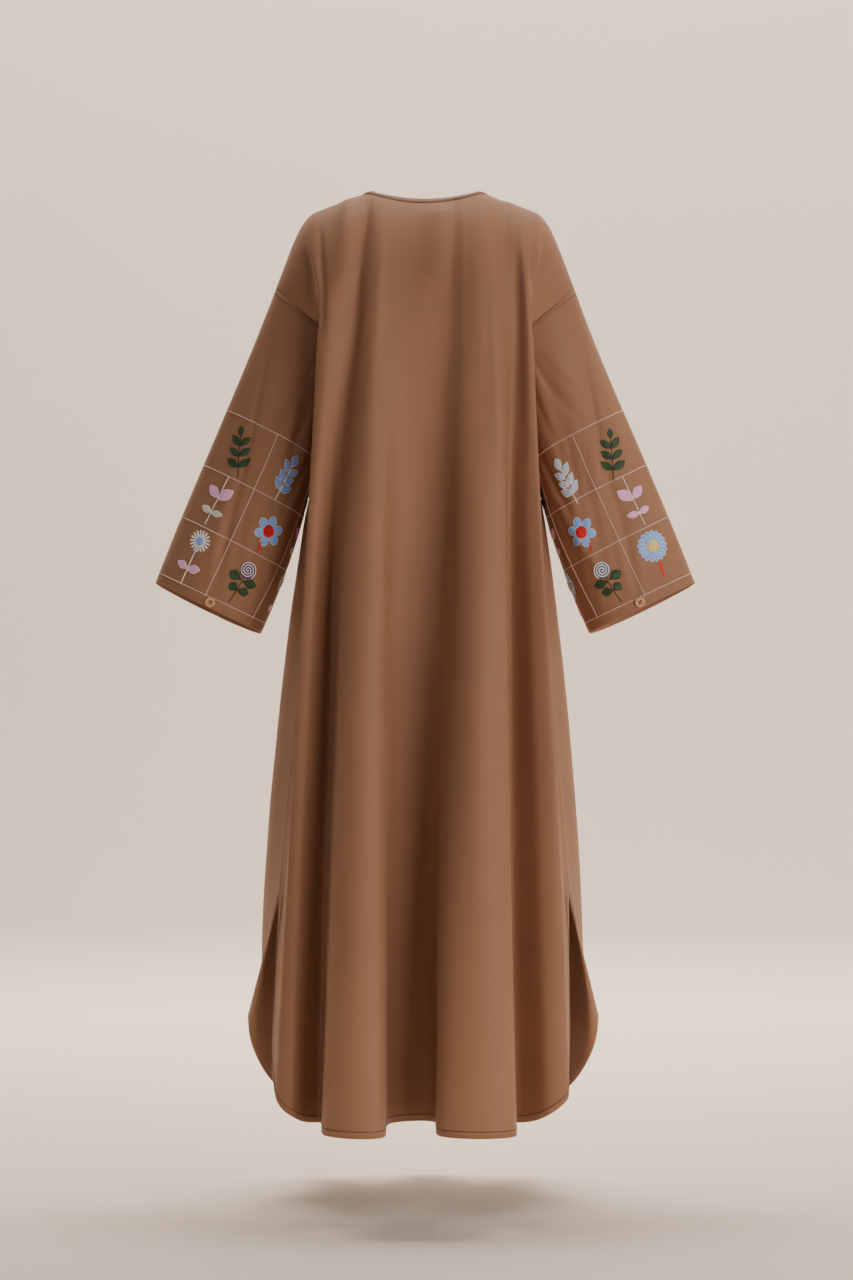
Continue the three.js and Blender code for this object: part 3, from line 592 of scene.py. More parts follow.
def studio_paint(name, colour, rough):
    """Matt emulsion on a studio wall and floor: even, with a barely visible roller texture. The
    sheet is clear from behind, so the dress can be looked at from beyond the wall."""
    material, tree, output = new_material(name)
    place = node(tree, "ShaderNodeTexCoord")
    mottle = node(tree, "ShaderNodeTexNoise", inputs={"Scale": 1.3, "Detail": 4.0},
                  links={"Vector": place.outputs["Object"]})
    tone = node(tree, "ShaderNodeValToRGB", links={"Fac": mottle.outputs["Fac"]})
    tone.color_ramp.elements[0].color = tuple(c * 0.97 for c in linear(colour)[:3]) + (1,)
    tone.color_ramp.elements[1].color = linear(colour)
    shader = node(tree, "ShaderNodeBsdfPrincipled", inputs={"Roughness": rough, "Specular IOR Level": 0.2},
                  links={"Base Color": tone.outputs["Color"]})
    side = node(tree, "ShaderNodeNewGeometry")
    clear = node(tree, "ShaderNodeBsdfTransparent")
    sheet = node(tree, "ShaderNodeMixShader",
                 links={0: side.outputs["Backfacing"], 1: shader.outputs["BSDF"], 2: clear.outputs["BSDF"]})
    tree.links.new(sheet.outputs["Shader"], output.inputs["Surface"])
    return material


# ---- stitches ----------------------------------------------------------------------------------
def stitch_tree():
    """Geometry Nodes: lays thread stitches end to end along the edges of a path mesh."""
    tree = bpy.data.node_groups.new("Stitch row", "GeometryNodeTree")
    face = tree.interface
    face.new_socket("Geometry", in_out="INPUT", socket_type="NodeSocketGeometry")
    for label, default in (("Stitch length", 0.004), ("Gap", 0.0006), ("Thread radius", 0.0005)):
        socket = face.new_socket(label, in_out="INPUT", socket_type="NodeSocketFloat")
        socket.default_value = default
        socket.subtype = "DISTANCE"
    face.new_socket("Thread", in_out="INPUT", socket_type="NodeSocketMaterial")
    face.new_socket("Geometry", in_out="OUTPUT", socket_type="NodeSocketGeometry")
    entry = tree.nodes.new("NodeGroupInput")
    leave = tree.nodes.new("NodeGroupOutput")
    curve = node(tree, "GeometryNodeMeshToCurve", links={"Mesh": entry.outputs["Geometry"]})
    pitch = node(tree, "ShaderNodeMath", {"operation": "ADD"},
                 links={0: entry.outputs["Stitch length"], 1: entry.outputs["Gap"]})
    points = node(tree, "GeometryNodeCurveToPoints", {"mode": "LENGTH"},
                  links={"Curve": curve.outputs["Curve"], "Length": pitch.outputs["Value"]})
    thread = node(tree, "GeometryNodeMeshCylinder", {"fill_type": "TRIANGLE_FAN"},
                  {"Vertices": 6, "Side Segments": 3},
                  {"Radius": entry.outputs["Thread radius"], "Depth": entry.outputs["Stitch length"]})
    lay = node(tree, "GeometryNodeInstanceOnPoints",
               links={"Points": points.outputs["Points"], "Instance": thread.outputs["Mesh"]})
    aim = node(tree, "FunctionNodeAlignRotationToVector", {"axis": "Z"},
               links={"Vector": points.outputs["Tangent"]})
    tree.links.new(aim.outputs["Rotation"], lay.inputs["Rotation"])
    real = node(tree, "GeometryNodeRealizeInstances", links={"Geometry": lay.outputs["Instances"]})
    paint = node(tree, "GeometryNodeSetMaterial",
                 links={"Geometry": real.outputs["Geometry"], "Material": entry.outputs["Thread"]})
    tree.links.new(paint.outputs["Geometry"], leave.inputs["Geometry"])
    return tree


def stitch_rows(name, paths, material, length, gap, radius):
    """Runs the stitch tree over paths given in millimetres and returns one plain mesh object."""
    vertices, edges = [], []
    for path in paths:
        start = len(vertices)
        vertices += [tuple(p) for p in to_metres(path)]
        edges += [(k, k + 1) for k in range(start, len(vertices) - 1)]
    mesh = bpy.data.meshes.new(name + "_path")
    mesh.from_pydata(vertices, edges, [])
    carrier = bpy.data.objects.new(name + "_path", mesh)
    bpy.context.scene.collection.objects.link(carrier)
    tree = bpy.data.node_groups.get("Stitch row") or stitch_tree()
    modifier = carrier.modifiers.new("Stitches", "NODES")
    modifier.node_group = tree
    values = {"Stitch length": length * MM, "Gap": gap * MM, "Thread radius": radius * MM, "Thread": material}
    for item in tree.interface.items_tree:
        if item.item_type == "SOCKET" and item.in_out == "INPUT" and item.name in values:
            modifier[item.identifier] = values[item.name]
    depsgraph = bpy.context.evaluated_depsgraph_get()
    made = bpy.data.meshes.new_from_object(carrier.evaluated_get(depsgraph))
    carrier.modifiers.remove(modifier)
    bpy.data.objects.remove(carrier)
    made.name = name
    obj = bpy.data.objects.new(name, made)
    bpy.context.scene.collection.objects.link(obj)
    return obj


# ---- embroidery --------------------------------------------------------------------------------
THREADS = {
    "pink": "#FFA9D9", "rose": "#FFCDEA", "green": "#2C4A2C", "moss": "#1B2F1B", "denim": "#7C98E6",
    "blue": "#84ACFC", "sky": "#C4DAFF", "mist": "#B8C4E0", "frost": "#E2E8F8", "white": "#FFFFFF",
    "red": "#E60006", "ember": "#8E0006", "poppy": "#DC1A14", "cream": "#FFE6A0",
    "straw": "#E0AE4C", "mauve": "#FFE0FF", "plum": "#3C2A46",
    "silver": "#FAFCFF", "slate": "#39415C", "stone": "#D2CCB8", "bark": "#57402C", "line": "#FFE4D8",
}

# Every motif stands on its anchor with +y up the sleeve and +x away from the outer crease, in
# millimetres. Leaves and petals: foot, lean towards the outer crease in degrees, length, width,
# where the widest place is, and which of the motif's threads fills and edges them.
LEAF_COLUMNS = ("x", "y", "lean", "length", "width", "fat", "fill", "edge")
SPRIG_LEAVES = [
    (0, 23, 0, 15.5, 8.5, 0.5, "leaf", "vein"),
    (0, 8.5, 41, 21.5, 10.0, 0.5, "leaf", "vein"), (0, 8.5, -50, 20.0, 9.0, 0.5, "leaf", "vein"),
    (0, -7.2, 51, 21.0, 9.4, 0.5, "leaf", "vein"), (0, -7.2, -50, 20.0, 9.2, 0.5, "leaf", "vein"),
    (0, -23, 57, 22.5, 10.8, 0.5, "leaf", "vein"), (0, -23, -52, 21.5, 10.0, 0.5, "leaf", "vein"),
]
TWIG_LEAVES = [
    (0, 17, -4, 20.0, 14.0, 0.55, "leaf", "vein"),
    (0, 6.9, 50, 23.0, 11.5, 0.5, "leaf", "vein"), (0, 4.0, -48, 21.5, 10.0, 0.5, "leaf", "vein"),
    (0, -7.4, 55, 21.0, 11.0, 0.5, "leaf", "vein"), (0, -8.5, -52, 19.0, 9.6, 0.5, "leaf", "vein"),
    (0, -21.0, 55, 22.5, 10.8, 0.5, "leaf", "vein"), (0, -21.5, -54, 22.5, 11.5, 0.5, "leaf", "vein"),
]
SEEDLING_LEAVES = [
    (0, 10, 63, 24.5, 13.0, 0.52, "leaf", "vein"), (0, 8, -36, 26.5, 15.0, 0.52, "leaf", "vein"),
    (0, -13.5, 82, 18.5, 9.0, 0.5, "low_leaf", "low_vein"),
    (0, -13.5, -78, 19.0, 8.6, 0.5, "low_leaf", "low_vein"),
]
STALK_LEAVES = [
    (0, -44, 80, 20.5, 10.6, 0.52, "low_leaf", "low_vein"),
    (0, -45, -69, 20.5, 12.2, 0.52, "low_leaf", "low_vein"),
]
ROSE_LEAVES = [
    (-3.5, -17, 80, 21.5, 14.0, 0.6, "leaf", "vein"), (-1.5, -18.5, -86, 23.0, 12.5, 0.58, "leaf", "vein"),
    (-3.0, -35, 64, 15.5, 13.5, 0.6, "leaf", "vein"), (-3.2, -33.5, -82, 18.5, 12.0, 0.58, "leaf", "vein"),
]


class Needle:
    """Collects raised satin shapes in a flat frame on one sleeve and lays them on its cloth."""

    def __init__(self, sleeve):
        self.sleeve = sleeve
        self.vertices, self.faces, self.uvs, self.slots = [], [], [], []
        self.names = list(THREADS)

    def frame(self, share, height, lean):
        """Anchors the frame; lean turns it towards the outer crease."""
        self.share, self.height = share, height
        self.turn = math.radians(lean)

    def lay(self, flat, lift):
        c, s = math.cos(self.turn), math.sin(self.turn)
        x = flat[..., 0] * c - flat[..., 1] * s
        y = flat[..., 0] * s + flat[..., 1] * c
        return self.sleeve.at_height(self.share + x / self.sleeve.girth(self.height), self.height + y, lift)

    def add_grid(self, flat, lift, uv, thread):
        base = len(self.vertices)
        columns, rows = flat.shape[:2]
        points = self.lay(flat, lift)
        i, j = columns // 2 - 1, rows // 2
        out = self.lay(flat[i, j], lift[i, j] + 1.0) - points[i, j]
        turn = np.cross(points[i, j - 1] - points[i, j], points[i + 1, j] - points[i, j])
        faces = grid_faces(columns, rows, False, float(turn @ out) > 0)
        self.vertices += [tuple(p) for p in to_metres(points)]
        self.uvs += [tuple(p) for p in (uv.reshape(-1, 2) * MM)]
        self.faces += [tuple(base + k for k in face) for face in faces]
        self.slots += [self.names.index(thread)] * len(faces)

    def leaf(self, x, y, lean, length, width, fat, fill, edge=None, tip=1.0):
        """A satin leaf or petal; fat says where it is widest and tip how blunt its ends are."""
        along = np.linspace(0, 1, 15)
        across = np.linspace(-1, 1, 9)
        wide = np.sin(math.pi * along ** (math.log(0.5) / math.log(fat))) ** tip
        a, t = np.meshgrid(along, across, indexing="ij")
        half = (width / 2) * wide[:, None] * t
        c, s = math.cos(math.radians(lean)), math.sin(math.radians(lean))
        flat = np.stack([x + half * c - a * length * s, y + half * s + a * length * c], -1)
        crown = 0.9 * np.sqrt(np.maximum(0, 1 - t ** 2)) * np.minimum(1, wide[:, None] * 1.6)
        crown = crown - 0.3 * np.exp(-(t / 0.14) ** 2) * np.minimum(1, wide[:, None]) * (tip > 0.9)
        uv = np.stack([a * length + np.abs(half) * 0.6, half], -1)
        self.add_grid(flat, crown - 0.2, uv, fill)
        if edge:
            rim = np.concatenate([flat[:, 0], flat[::-1, -1]])
            self.cord(rim, 1.25, edge, 0.8)
            if tip > 0.9:
                self.cord(flat[1:11, 4], 0.7, edge, 0.95)

    def disc(self, radius, thread, height):
        ring = np.array([0, 0.3, 0.55, 0.75, 0.88, 0.96, 1.0])
        turn = np.linspace(0, 2 * math.pi, 65)
        r, q = np.meshgrid(ring, turn, indexing="ij")
        flat = np.stack([r * radius * np.sin(q), r * radius * np.cos(q)], -1)
        uv = flat.copy()
        self.add_grid(flat, height * (1 - r ** 8) - 0.2, uv, thread)

    def cord(self, path, width, thread, height=0.6, taper=0.0):
        """A narrow satin bar along a flat path; taper narrows its two ends."""
        path = np.asarray(path, float)
        step = np.linalg.norm(np.diff(path, axis=0), axis=1)
        at = np.concatenate([[0], np.cumsum(step)])
        count = max(6, int(at[-1] / 1.3))
        where = np.linspace(0, at[-1], count)
        line = np.stack([np.interp(where, at, path[:, k]) for k in (0, 1)], 1)
        tangent = np.gradient(line, axis=0)
        tangent /= np.maximum(np.linalg.norm(tangent, axis=1, keepdims=True), 1e-6)
        normal = np.stack([tangent[:, 1], -tangent[:, 0]], 1)
        t = np.linspace(-1, 1, 5)
        slim = 1 - taper * (2 * where / at[-1] - 1) ** 4
        flat = line[:, None] + normal[:, None] * t[None, :, None] * (width / 2 * slim)[:, None, None]
        lift = np.broadcast_to(height * np.sqrt(np.maximum(0, 1 - t ** 2)) - 0.1, flat.shape[:2])
        uv = np.stack(np.broadcast_arrays(where[:, None], t[None] * width / 2), -1)
        self.add_grid(flat, lift, uv, thread)

    def leaves(self, table, threads):
        for row in table:
            leaf = dict(zip(LEAF_COLUMNS, row))
            leaf["fill"], leaf["edge"] = threads[leaf["fill"]], threads[leaf["edge"]]
            self.leaf(**leaf)

    def petals(self, count, start, foot, length, width, fill, edge, tip=0.6):
        for k in range(count):
            q = 2 * math.pi * k / count + math.radians(start)
            x, y = foot * math.sin(q), foot * math.cos(q)
            self.leaf(x, y, -math.degrees(q), length, width, 0.62, fill, edge, tip)

    def spiral(self, radius, pitch, thread, height, fill=0.62):
        turns = radius / pitch
        q = np.linspace(0.6, 2 * math.pi * turns, int(turns * 22) + 4)
        r = pitch * q / (2 * math.pi)
        self.cord(np.stack([r * np.sin(q), r * np.cos(q)], 1), pitch * fill, thread, height)

    def sprig(self, threads):
        self.cord([(0, -38), (0, 25)], 1.6, threads["stem"])
        self.leaves(SPRIG_LEAVES, threads)

    def twig(self, threads):
        self.leaves(TWIG_LEAVES, threads)
        self.cord([(0, -38), (0, 19)], 1.7, threads["stem"], 1.1)

    def seedling(self, threads):
        self.cord([(0, -33), (0, 45)], 1.3, threads["stem"], 0.8)
        self.leaves(SEEDLING_LEAVES, threads)

    def daisy(self, threads):
        self.cord([(0, -14), (0, -67)], 1.8, threads["stem"], 0.8)
        self.leaves(STALK_LEAVES, threads)
        self.petals(17, 0, 6, 11.0, 3.0, threads["petal"], None, 0.35)
        self.disc(9.0, threads["ring"], 0.9)
        self.disc(7.2, threads["heart"], 1.7)

    def blossom(self, threads):
        self.cord([(-3.8, -33), (-5.2, -18)], 3.8, threads["stem"], 0.9, 0.4)
        self.petals(6, 2, 3, 20.5, 13.0, threads["petal"], threads["ring"], 0.75)
        self.disc(9.6, threads["heart"], 2.0)
        self.spiral(7.8, 2.6, threads["core"], 2.3)

    def sunflower(self, threads):
        self.cord([(1.9, -49), (0.9, -22)], 4.8, threads["stem"], 1.0, 0.6)
        self.petals(17, 4, 7, 16.4, 7.4, threads["petal"], threads["ring"])
        self.disc(15.0, threads["petal"], 1.0)
        self.disc(10.1, threads["heart"], 1.9)
        self.spiral(9.2, 3.4, threads["core"], 2.3)

    def rose(self, threads):
        self.leaves(ROSE_LEAVES, threads)
        self.cord([(-1, -12), (-3.2, -34), (-7, -55)], 1.9, threads["stem"], 1.1)
        self.disc(13.6, threads["core"], 0.5)
        self.spiral(12.8, 3.8, threads["petal"], 1.5, 0.56)

    def build(self, name):
        materials = [thread_material(key) for key in self.names]
        return new_object(name, np.array(self.vertices), self.faces, materials, self.uvs, True, self.slots)


def thread_material(key):
    name = f"rayon_thread_{key}"
    return bpy.data.materials.get(name) or rayon_thread(name, THREADS[key])


DARK_LEAF = {"stem": "moss", "leaf": "green", "vein": "moss"}
BLUE_LEAF = {"stem": "white", "leaf": "denim", "vein": "sky"}
PALE_LEAF = {"stem": "white", "leaf": "mist", "vein": "white"}
PINK_GREY = {"stem": "line", "leaf": "pink", "vein": "rose", "low_leaf": "stone", "low_vein": "frost"}
PINK_PINK = {"stem": "line", "leaf": "pink", "vein": "rose", "low_leaf": "pink", "low_vein": "rose"}
BLUE_RED = {"stem": "poppy", "petal": "blue", "ring": "sky", "heart": "red", "core": "ember"}
DAISY = {"stem": "line", "petal": "white", "ring": "frost", "heart": "blue", "low_leaf": "pink",
         "low_vein": "rose"}
SUNFLOWER = {"stem": "poppy", "petal": "blue", "ring": "sky", "heart": "cream", "core": "straw"}
MAUVE_ROSE = {"stem": "bark", "leaf": "green", "vein": "moss", "petal": "mauve", "core": "plum"}
SILVER_ROSE = {"stem": "bark", "leaf": "green", "vein": "moss", "petal": "silver", "core": "slate"}

# One row per motif: hand, share round the sleeve, height above the cuff edge, lean, kind, threads.
MOTIF_COLUMNS = ("hand", "share", "height", "lean", "kind", "threads")
MOTIFS = [
    (-1, 0.135, 228, 20.8, "sprig", DARK_LEAF), (1, 0.137, 224, 19.3, "sprig", DARK_LEAF),
    (-1, 0.3205, 223, -9, "twig", BLUE_LEAF), (1, 0.3145, 217, -8, "twig", PALE_LEAF),
    (-1, 0.1305, 143, -4, "seedling", PINK_GREY), (1, 0.1315, 142, -2, "seedling", PINK_PINK),
    (-1, 0.3285, 140, 0, "blossom", BLUE_RED), (1, 0.329, 139, 0, "blossom", BLUE_RED),
    (-1, 0.1325, 84, -2, "daisy", DAISY), (1, 0.1323, 76, 0, "sunflower", SUNFLOWER),
    (-1, 0.315, 75.5, 0, "rose", MAUVE_ROSE), (1, 0.3147, 75.5, 0, "rose", SILVER_ROSE),
    (-1, 0.50, 222, 0, "sprig", DARK_LEAF), (1, 0.50, 222, 0, "sprig", DARK_LEAF),
    (-1, 0.50, 143, 0, "seedling", PINK_GREY), (1, 0.50, 142, 0, "seedling", PINK_PINK),
    (-1, 0.50, 82, 0, "daisy", DAISY), (1, 0.50, 76, 0, "sunflower", SUNFLOWER),
    (-1, 0.69, 220, 0, "twig", BLUE_LEAF), (1, 0.69, 220, 0, "twig", PALE_LEAF),
    (-1, 0.69, 140, 0, "blossom", BLUE_RED), (1, 0.69, 139, 0, "blossom", BLUE_RED),
    (-1, 0.69, 75.5, 0, "rose", MAUVE_ROSE), (1, 0.69, 75.5, 0, "rose", SILVER_ROSE),
    (-1, 0.88, 224, 0, "sprig", DARK_LEAF), (1, 0.88, 224, 0, "sprig", DARK_LEAF),
    (-1, 0.88, 143, 0, "seedling", PINK_GREY), (1, 0.88, 142, 0, "seedling", PINK_PINK),
    (-1, 0.88, 84, 0, "daisy", DAISY), (1, 0.88, 76, 0, "sunflower", SUNFLOWER),
]


# ---- settings shown in the panel ---------------------------------------------------------------
class DressSettings(bpy.types.PropertyGroup):
    cloth_colour: bpy.props.StringProperty(
        name="Cloth colour", description="sRGB hex of the lit twill", default="#9A6F53")
    # Painted shade: the darker colour mixed into the twill's grooves between the threads.
    groove_shade_colour: bpy.props.StringProperty(
        name="Deep colour", description="sRGB hex between the threads", default="#704A33")
    cloth_thickness: bpy.props.FloatProperty(
        name="Cloth thickness", description="Wall of the shown cloth", default=0.0011,
        min=0.0005, max=0.002, subtype="DISTANCE", unit="LENGTH")
    line_stitch: bpy.props.FloatProperty(
        name="Grid stitch", description="Length of one stitch of the grid lines", default=0.0034,
        min=0.001, max=0.01, subtype="DISTANCE", unit="LENGTH")
    top_stitch: bpy.props.FloatProperty(
        name="Topstitch", description="Length of one stitch along the hems", default=0.0028,
        min=0.001, max=0.01, subtype="DISTANCE", unit="LENGTH")
    button_diameter: bpy.props.FloatProperty(
        name="Button diameter", description="Across the button's rim", default=0.0152,
        min=0.008, max=0.03, subtype="DISTANCE", unit="LENGTH")


STATE = {}


def cloth_material():
    settings = bpy.context.scene.mukhawar
    return bpy.data.materials.get("brushed_cotton_twill") or brushed_twill(
        "brushed_cotton_twill", settings.cloth_colour, settings.groove_shade_colour)


def seam_thread():
    name = "spun_polyester_thread"
    return bpy.data.materials.get(name) or rayon_thread(name, "#573826")


def seam_shade_thread():
    """A dark brown cord, made as stitches with almost no gaps, laid as painted shade where the seam tucks
    under the neck binding.
    """
    name = "painted_seam_shade_thread"
    return bpy.data.materials.get(name) or rayon_thread(name, "#4A2F21")


def panel_surface(side):
    """The fine grid of a panel with its creases, in millimetres."""
    folds = FOLDS[side]
    us = np.linspace(0, len(folds) - 1, (len(folds) - 1) * (12 if side == "back" else 15) + 1)
    grid = panel_grid(side, us, 36, 16, 66, 34)
    sign = SCOOP[side][2]
    lift = crease_lift(grid, BACK_CREASES if side == "back" else FRONT_CREASES)
    lift += 1.1 * ripple(grid[..., 0], grid[..., 1], grid[..., 2], 11 if side == "back" else 23)
    span = len(folds) - 1
    hold = np.clip(np.minimum(us, span - us) / 0.8, 0, 1)[:, None]
    fade = np.clip(np.arange(grid.shape[1]) / 6.0, 0, 1)[None, :]
    normals = grid_normals(grid, sign)
    return grid + normals * (lift * hold * fade)[..., None], us


def panel_object(side):
    settings = bpy.context.scene.mukhawar
    grid, us = panel_surface(side)
    STATE[side] = (grid, us)
    thick = settings.cloth_thickness / MM
    obj = cloth_object(f"{side}_panel", grid, False, side == "front", cloth_material(), thick)
    finish_piece(obj, "cloth", side)
    return obj


class DRESS_OT_back(bpy.types.Operator):
    """Back panel: one sheet of twill that falls in two deep folds"""
    bl_idname = "mukhawar.back"
    bl_label = "Back panel"

    def execute(self, context):
        panel_object("back")
        return {"FINISHED"}


class DRESS_OT_front(bpy.types.Operator):
    """Front panel: plain and closed, with rounded hem corners"""
    bl_idname = "mukhawar.front"
    bl_label = "Front panel"

    def execute(self, context):
        panel_object("front")
        return {"FINISHED"}


class DRESS_OT_sleeves(bpy.types.Operator):
    """Wide straight sleeves down to the cuff edge"""
    bl_idname = "mukhawar.sleeves"
    bl_label = "Sleeves"

    def execute(self, context):
        settings = context.scene.mukhawar
        for hand, side in ((-1, "left"), (1, "right")):
            sleeve = Sleeve(hand)
            STATE["sleeve_" + side] = sleeve
            shares = np.arange(220) / 220.0
            w = np.linspace(0, 1, 150)
            grid = sleeve.point(shares[:, None], w[None, :])
            thick = settings.cloth_thickness / MM
            obj = cloth_object(f"{side}_sleeve", grid, True, hand > 0, cloth_material(), thick)
            finish_piece(obj, "cloth", "sleeve_" + side)
        return {"FINISHED"}


class DRESS_OT_binding(bpy.types.Operator):
    """Rolled bias strip round the neck opening"""
    bl_idname = "mukhawar.binding"
    bl_label = "Neck binding"

    def execute(self, context):
        columns = []
        for side in ("back", "front"):
            folds = FOLDS[side]
            scoop, per_mm, _sign = SCOOP[side]
            lows = [k for k, fold in enumerate(folds) if abs(fold[1]) <= BAND_EDGE]
            us = np.linspace(lows[0], lows[-1], 121)
            _x0, turns = top_start(folds, us)
            blade = level_curve(folds, "blade", us)
            distance = np.array([0.0, BINDING_WIDTH / 2, BINDING_WIDTH])
            t = np.radians((scoop + per_mm * distance[None, :]) * np.sin(turns)[:, None])
            rings = [cap_points((NECK_HALF + d) * np.cos(turns), blade, t[:, k:k + 1])[:, 0]
                     for k, d in enumerate(distance)]
            part = np.stack(rings, 1)
            columns.append(part if side == "back" else part[::-1])
        line = np.concatenate([columns[0][:-1], columns[1][:-1]])
        across = np.roll(line[:, 1], -1, 0) - np.roll(line[:, 1], 1, 0)
        reach = line[:, 2] - line[:, 0]
        n = -np.cross(across, reach)
        n /= np.linalg.norm(n, axis=1, keepdims=True)
        width = np.linalg.norm(reach, axis=1, keepdims=True)
        out = reach / width
        section = []
        for angle in np.linspace(0, 2 * math.pi, 17)[:-1]:
            c, s = math.cos(angle), math.sin(angle)
            side_way = 0.5 * (width + 1.2) * np.sign(c) * abs(c) ** 0.45
            rise = 1.15 * np.sign(s) * abs(s) ** 0.8 - 0.35
            section.append(line[:, 1] + out * (side_way + 0.5) + n * rise)
        ring = np.stack(section, 1)
        count, sides = ring.shape[:2]
        faces = []
        for i in range(count):
            for j in range(sides):
                a, b = i * sides, ((i + 1) % count) * sides
                faces.append((a + j, b + j, b + (j + 1) % sides, a + (j + 1) % sides))
        step = np.linalg.norm(np.diff(line[:, 1], axis=0), axis=1)
        u = np.concatenate([[0], np.cumsum(step)])
        uvs = np.stack(np.broadcast_arrays(u[:, None], np.arange(sides)[None] * 1.6), -1).reshape(-1, 2) * MM
        obj = new_object("neck_strip", to_metres(ring), faces, [cloth_material()], uvs)
        finish_piece(obj, "binding", "neck_binding")
        STATE["neck"] = (line, n)
        return {"FINISHED"}


class DRESS_OT_embroidery(bpy.types.Operator):
    """Satin-stitch sprigs and flowers in the sleeve grids"""
    bl_idname = "mukhawar.embroidery"
    bl_label = "Embroidered motifs"

    def execute(self, context):
        for hand, side in ((-1, "left"), (1, "right")):
            needle = Needle(STATE["sleeve_" + side])
            for row in MOTIFS:
                motif = dict(zip(MOTIF_COLUMNS, row))
                if motif["hand"] == hand:
                    needle.frame(motif["share"], motif["height"], motif["lean"])
                    getattr(needle, motif["kind"])(motif["threads"])
            obj = needle.build(f"{side}_motifs")
            finish_piece(obj, "cloth")
        return {"FINISHED"}


class DRESS_OT_stitching(bpy.types.Operator):
    """Grid lines on the sleeves, topstitching along the hems, slits, seams and neck, and a painted shade line
    under the neck binding
    """
    bl_idname = "mukhawar.stitching"
    bl_label = "Stitching"

    def execute(self, context):
        settings = context.scene.mukhawar
        line_length = settings.line_stitch / MM
        for hand, side in ((-1, "left"), (1, "right")):
            sleeve = STATE["sleeve_" + side]
            paths = []
            round_about = np.linspace(0, 1, 181)
            for inner, outer in GRID_HEIGHTS:
                height = inner + (outer - inner) * (1 + np.cos(2 * math.pi * round_about)) / 2
                paths.append(sleeve.at_height(round_about, height, 0.35))
            climb = np.linspace(GRID_HEIGHTS[0][0], GRID_HEIGHTS[-1][0], 70)
            for low, high in GRID_LINES:
                share = low + (high - low) * (climb - climb[0]) / (climb[-1] - climb[0])
                paths.append(sleeve.at_height(share, climb, 0.35))
            obj = stitch_rows(f"{side}_grid_lines", paths, thread_material("line"), line_length, 0.25, 0.56)
            finish_piece(obj, "cloth")
        top = settings.top_stitch / MM
        paths = []
        for side in ("back", "front"):
            grid = STATE[side][0]
            normals = grid_normals(grid, SCOOP[side][2])
            out = grid + normals * 0.25
            paths.append(self.inset_path(out, 10.0))
        obj = stitch_rows("hem_topstitch", paths, seam_thread(), top, 0.5, 0.5)
        finish_piece(obj, "cloth")
        paths = []
        for side in ("left", "right"):
            sleeve = STATE["sleeve_" + side]
            round_about = np.linspace(0, 1, 181)
            w = np.full(181, 0.012)
            hand = sleeve.hand
            p = sleeve.point(round_about, w)
            across = sleeve.point(round_about + 0.004, w) - sleeve.point(round_about - 0.004, w)
            down = sleeve.point(round_about, w + 0.01) - p
            n = np.cross(across, down) * hand
            paths.append(p + 0.25 * n / np.linalg.norm(n, axis=1, keepdims=True))
        line, n = STATE["neck"]
        neck = line[:, 1] + (line[:, 2] - line[:, 0]) * 0.38 + n * 0.85
        paths.append(np.concatenate([neck, neck[:1]]))
        obj = stitch_rows("seam_topstitch", paths, seam_thread(), top, 0.9, 0.34)
        finish_piece(obj, "cloth")
        # Painted shade: a dark, nearly gapless cord along the binding's lower edge, where the seam tucks
        # under.
        under = line[:, 2] + (line[:, 2] - line[:, 0]) * 0.13 + n * 0.3
        paths = [np.concatenate([under, under[:1]])]
        obj = stitch_rows("painted_seam_shade_line", paths, seam_shade_thread(), top, 0.05, 0.5)
        finish_piece(obj, "cloth")
        return {"FINISHED"}

    def inset_path(self, grid, inset):
        """A path a fixed distance in from the slit edges and the hem of a panel."""
        slit_row = 36 + 16 + 66
        bottom = []
        for column in grid:
            step = np.linalg.norm(np.diff(column, axis=0), axis=1)
            at = np.concatenate([[0], np.cumsum(step)])
            bottom.append([np.interp(at[-1] - inset, at, column[:, k]) for k in range(3)])
        bottom = np.array(bottom)

        def side_line(order):
            points = []
            for row in range(slit_row, grid.shape[1]):
                ring = grid[order, row]
                step = np.linalg.norm(np.diff(ring, axis=0), axis=1)
                at = np.concatenate([[0], np.cumsum(step)])
                points.append([np.interp(inset, at, ring[:, k]) for k in range(3)])
            return np.array(points)
        columns = np.arange(grid.shape[0])
        left, right = side_line(columns), side_line(columns[::-1])
        keep = [k for k in range(len(bottom)) if bottom[k, 2] < left[-1, 2] - 2 or 12 < k < len(bottom) - 13]
        return np.concatenate([left[:-3], bottom[keep], right[:-3][::-1]])


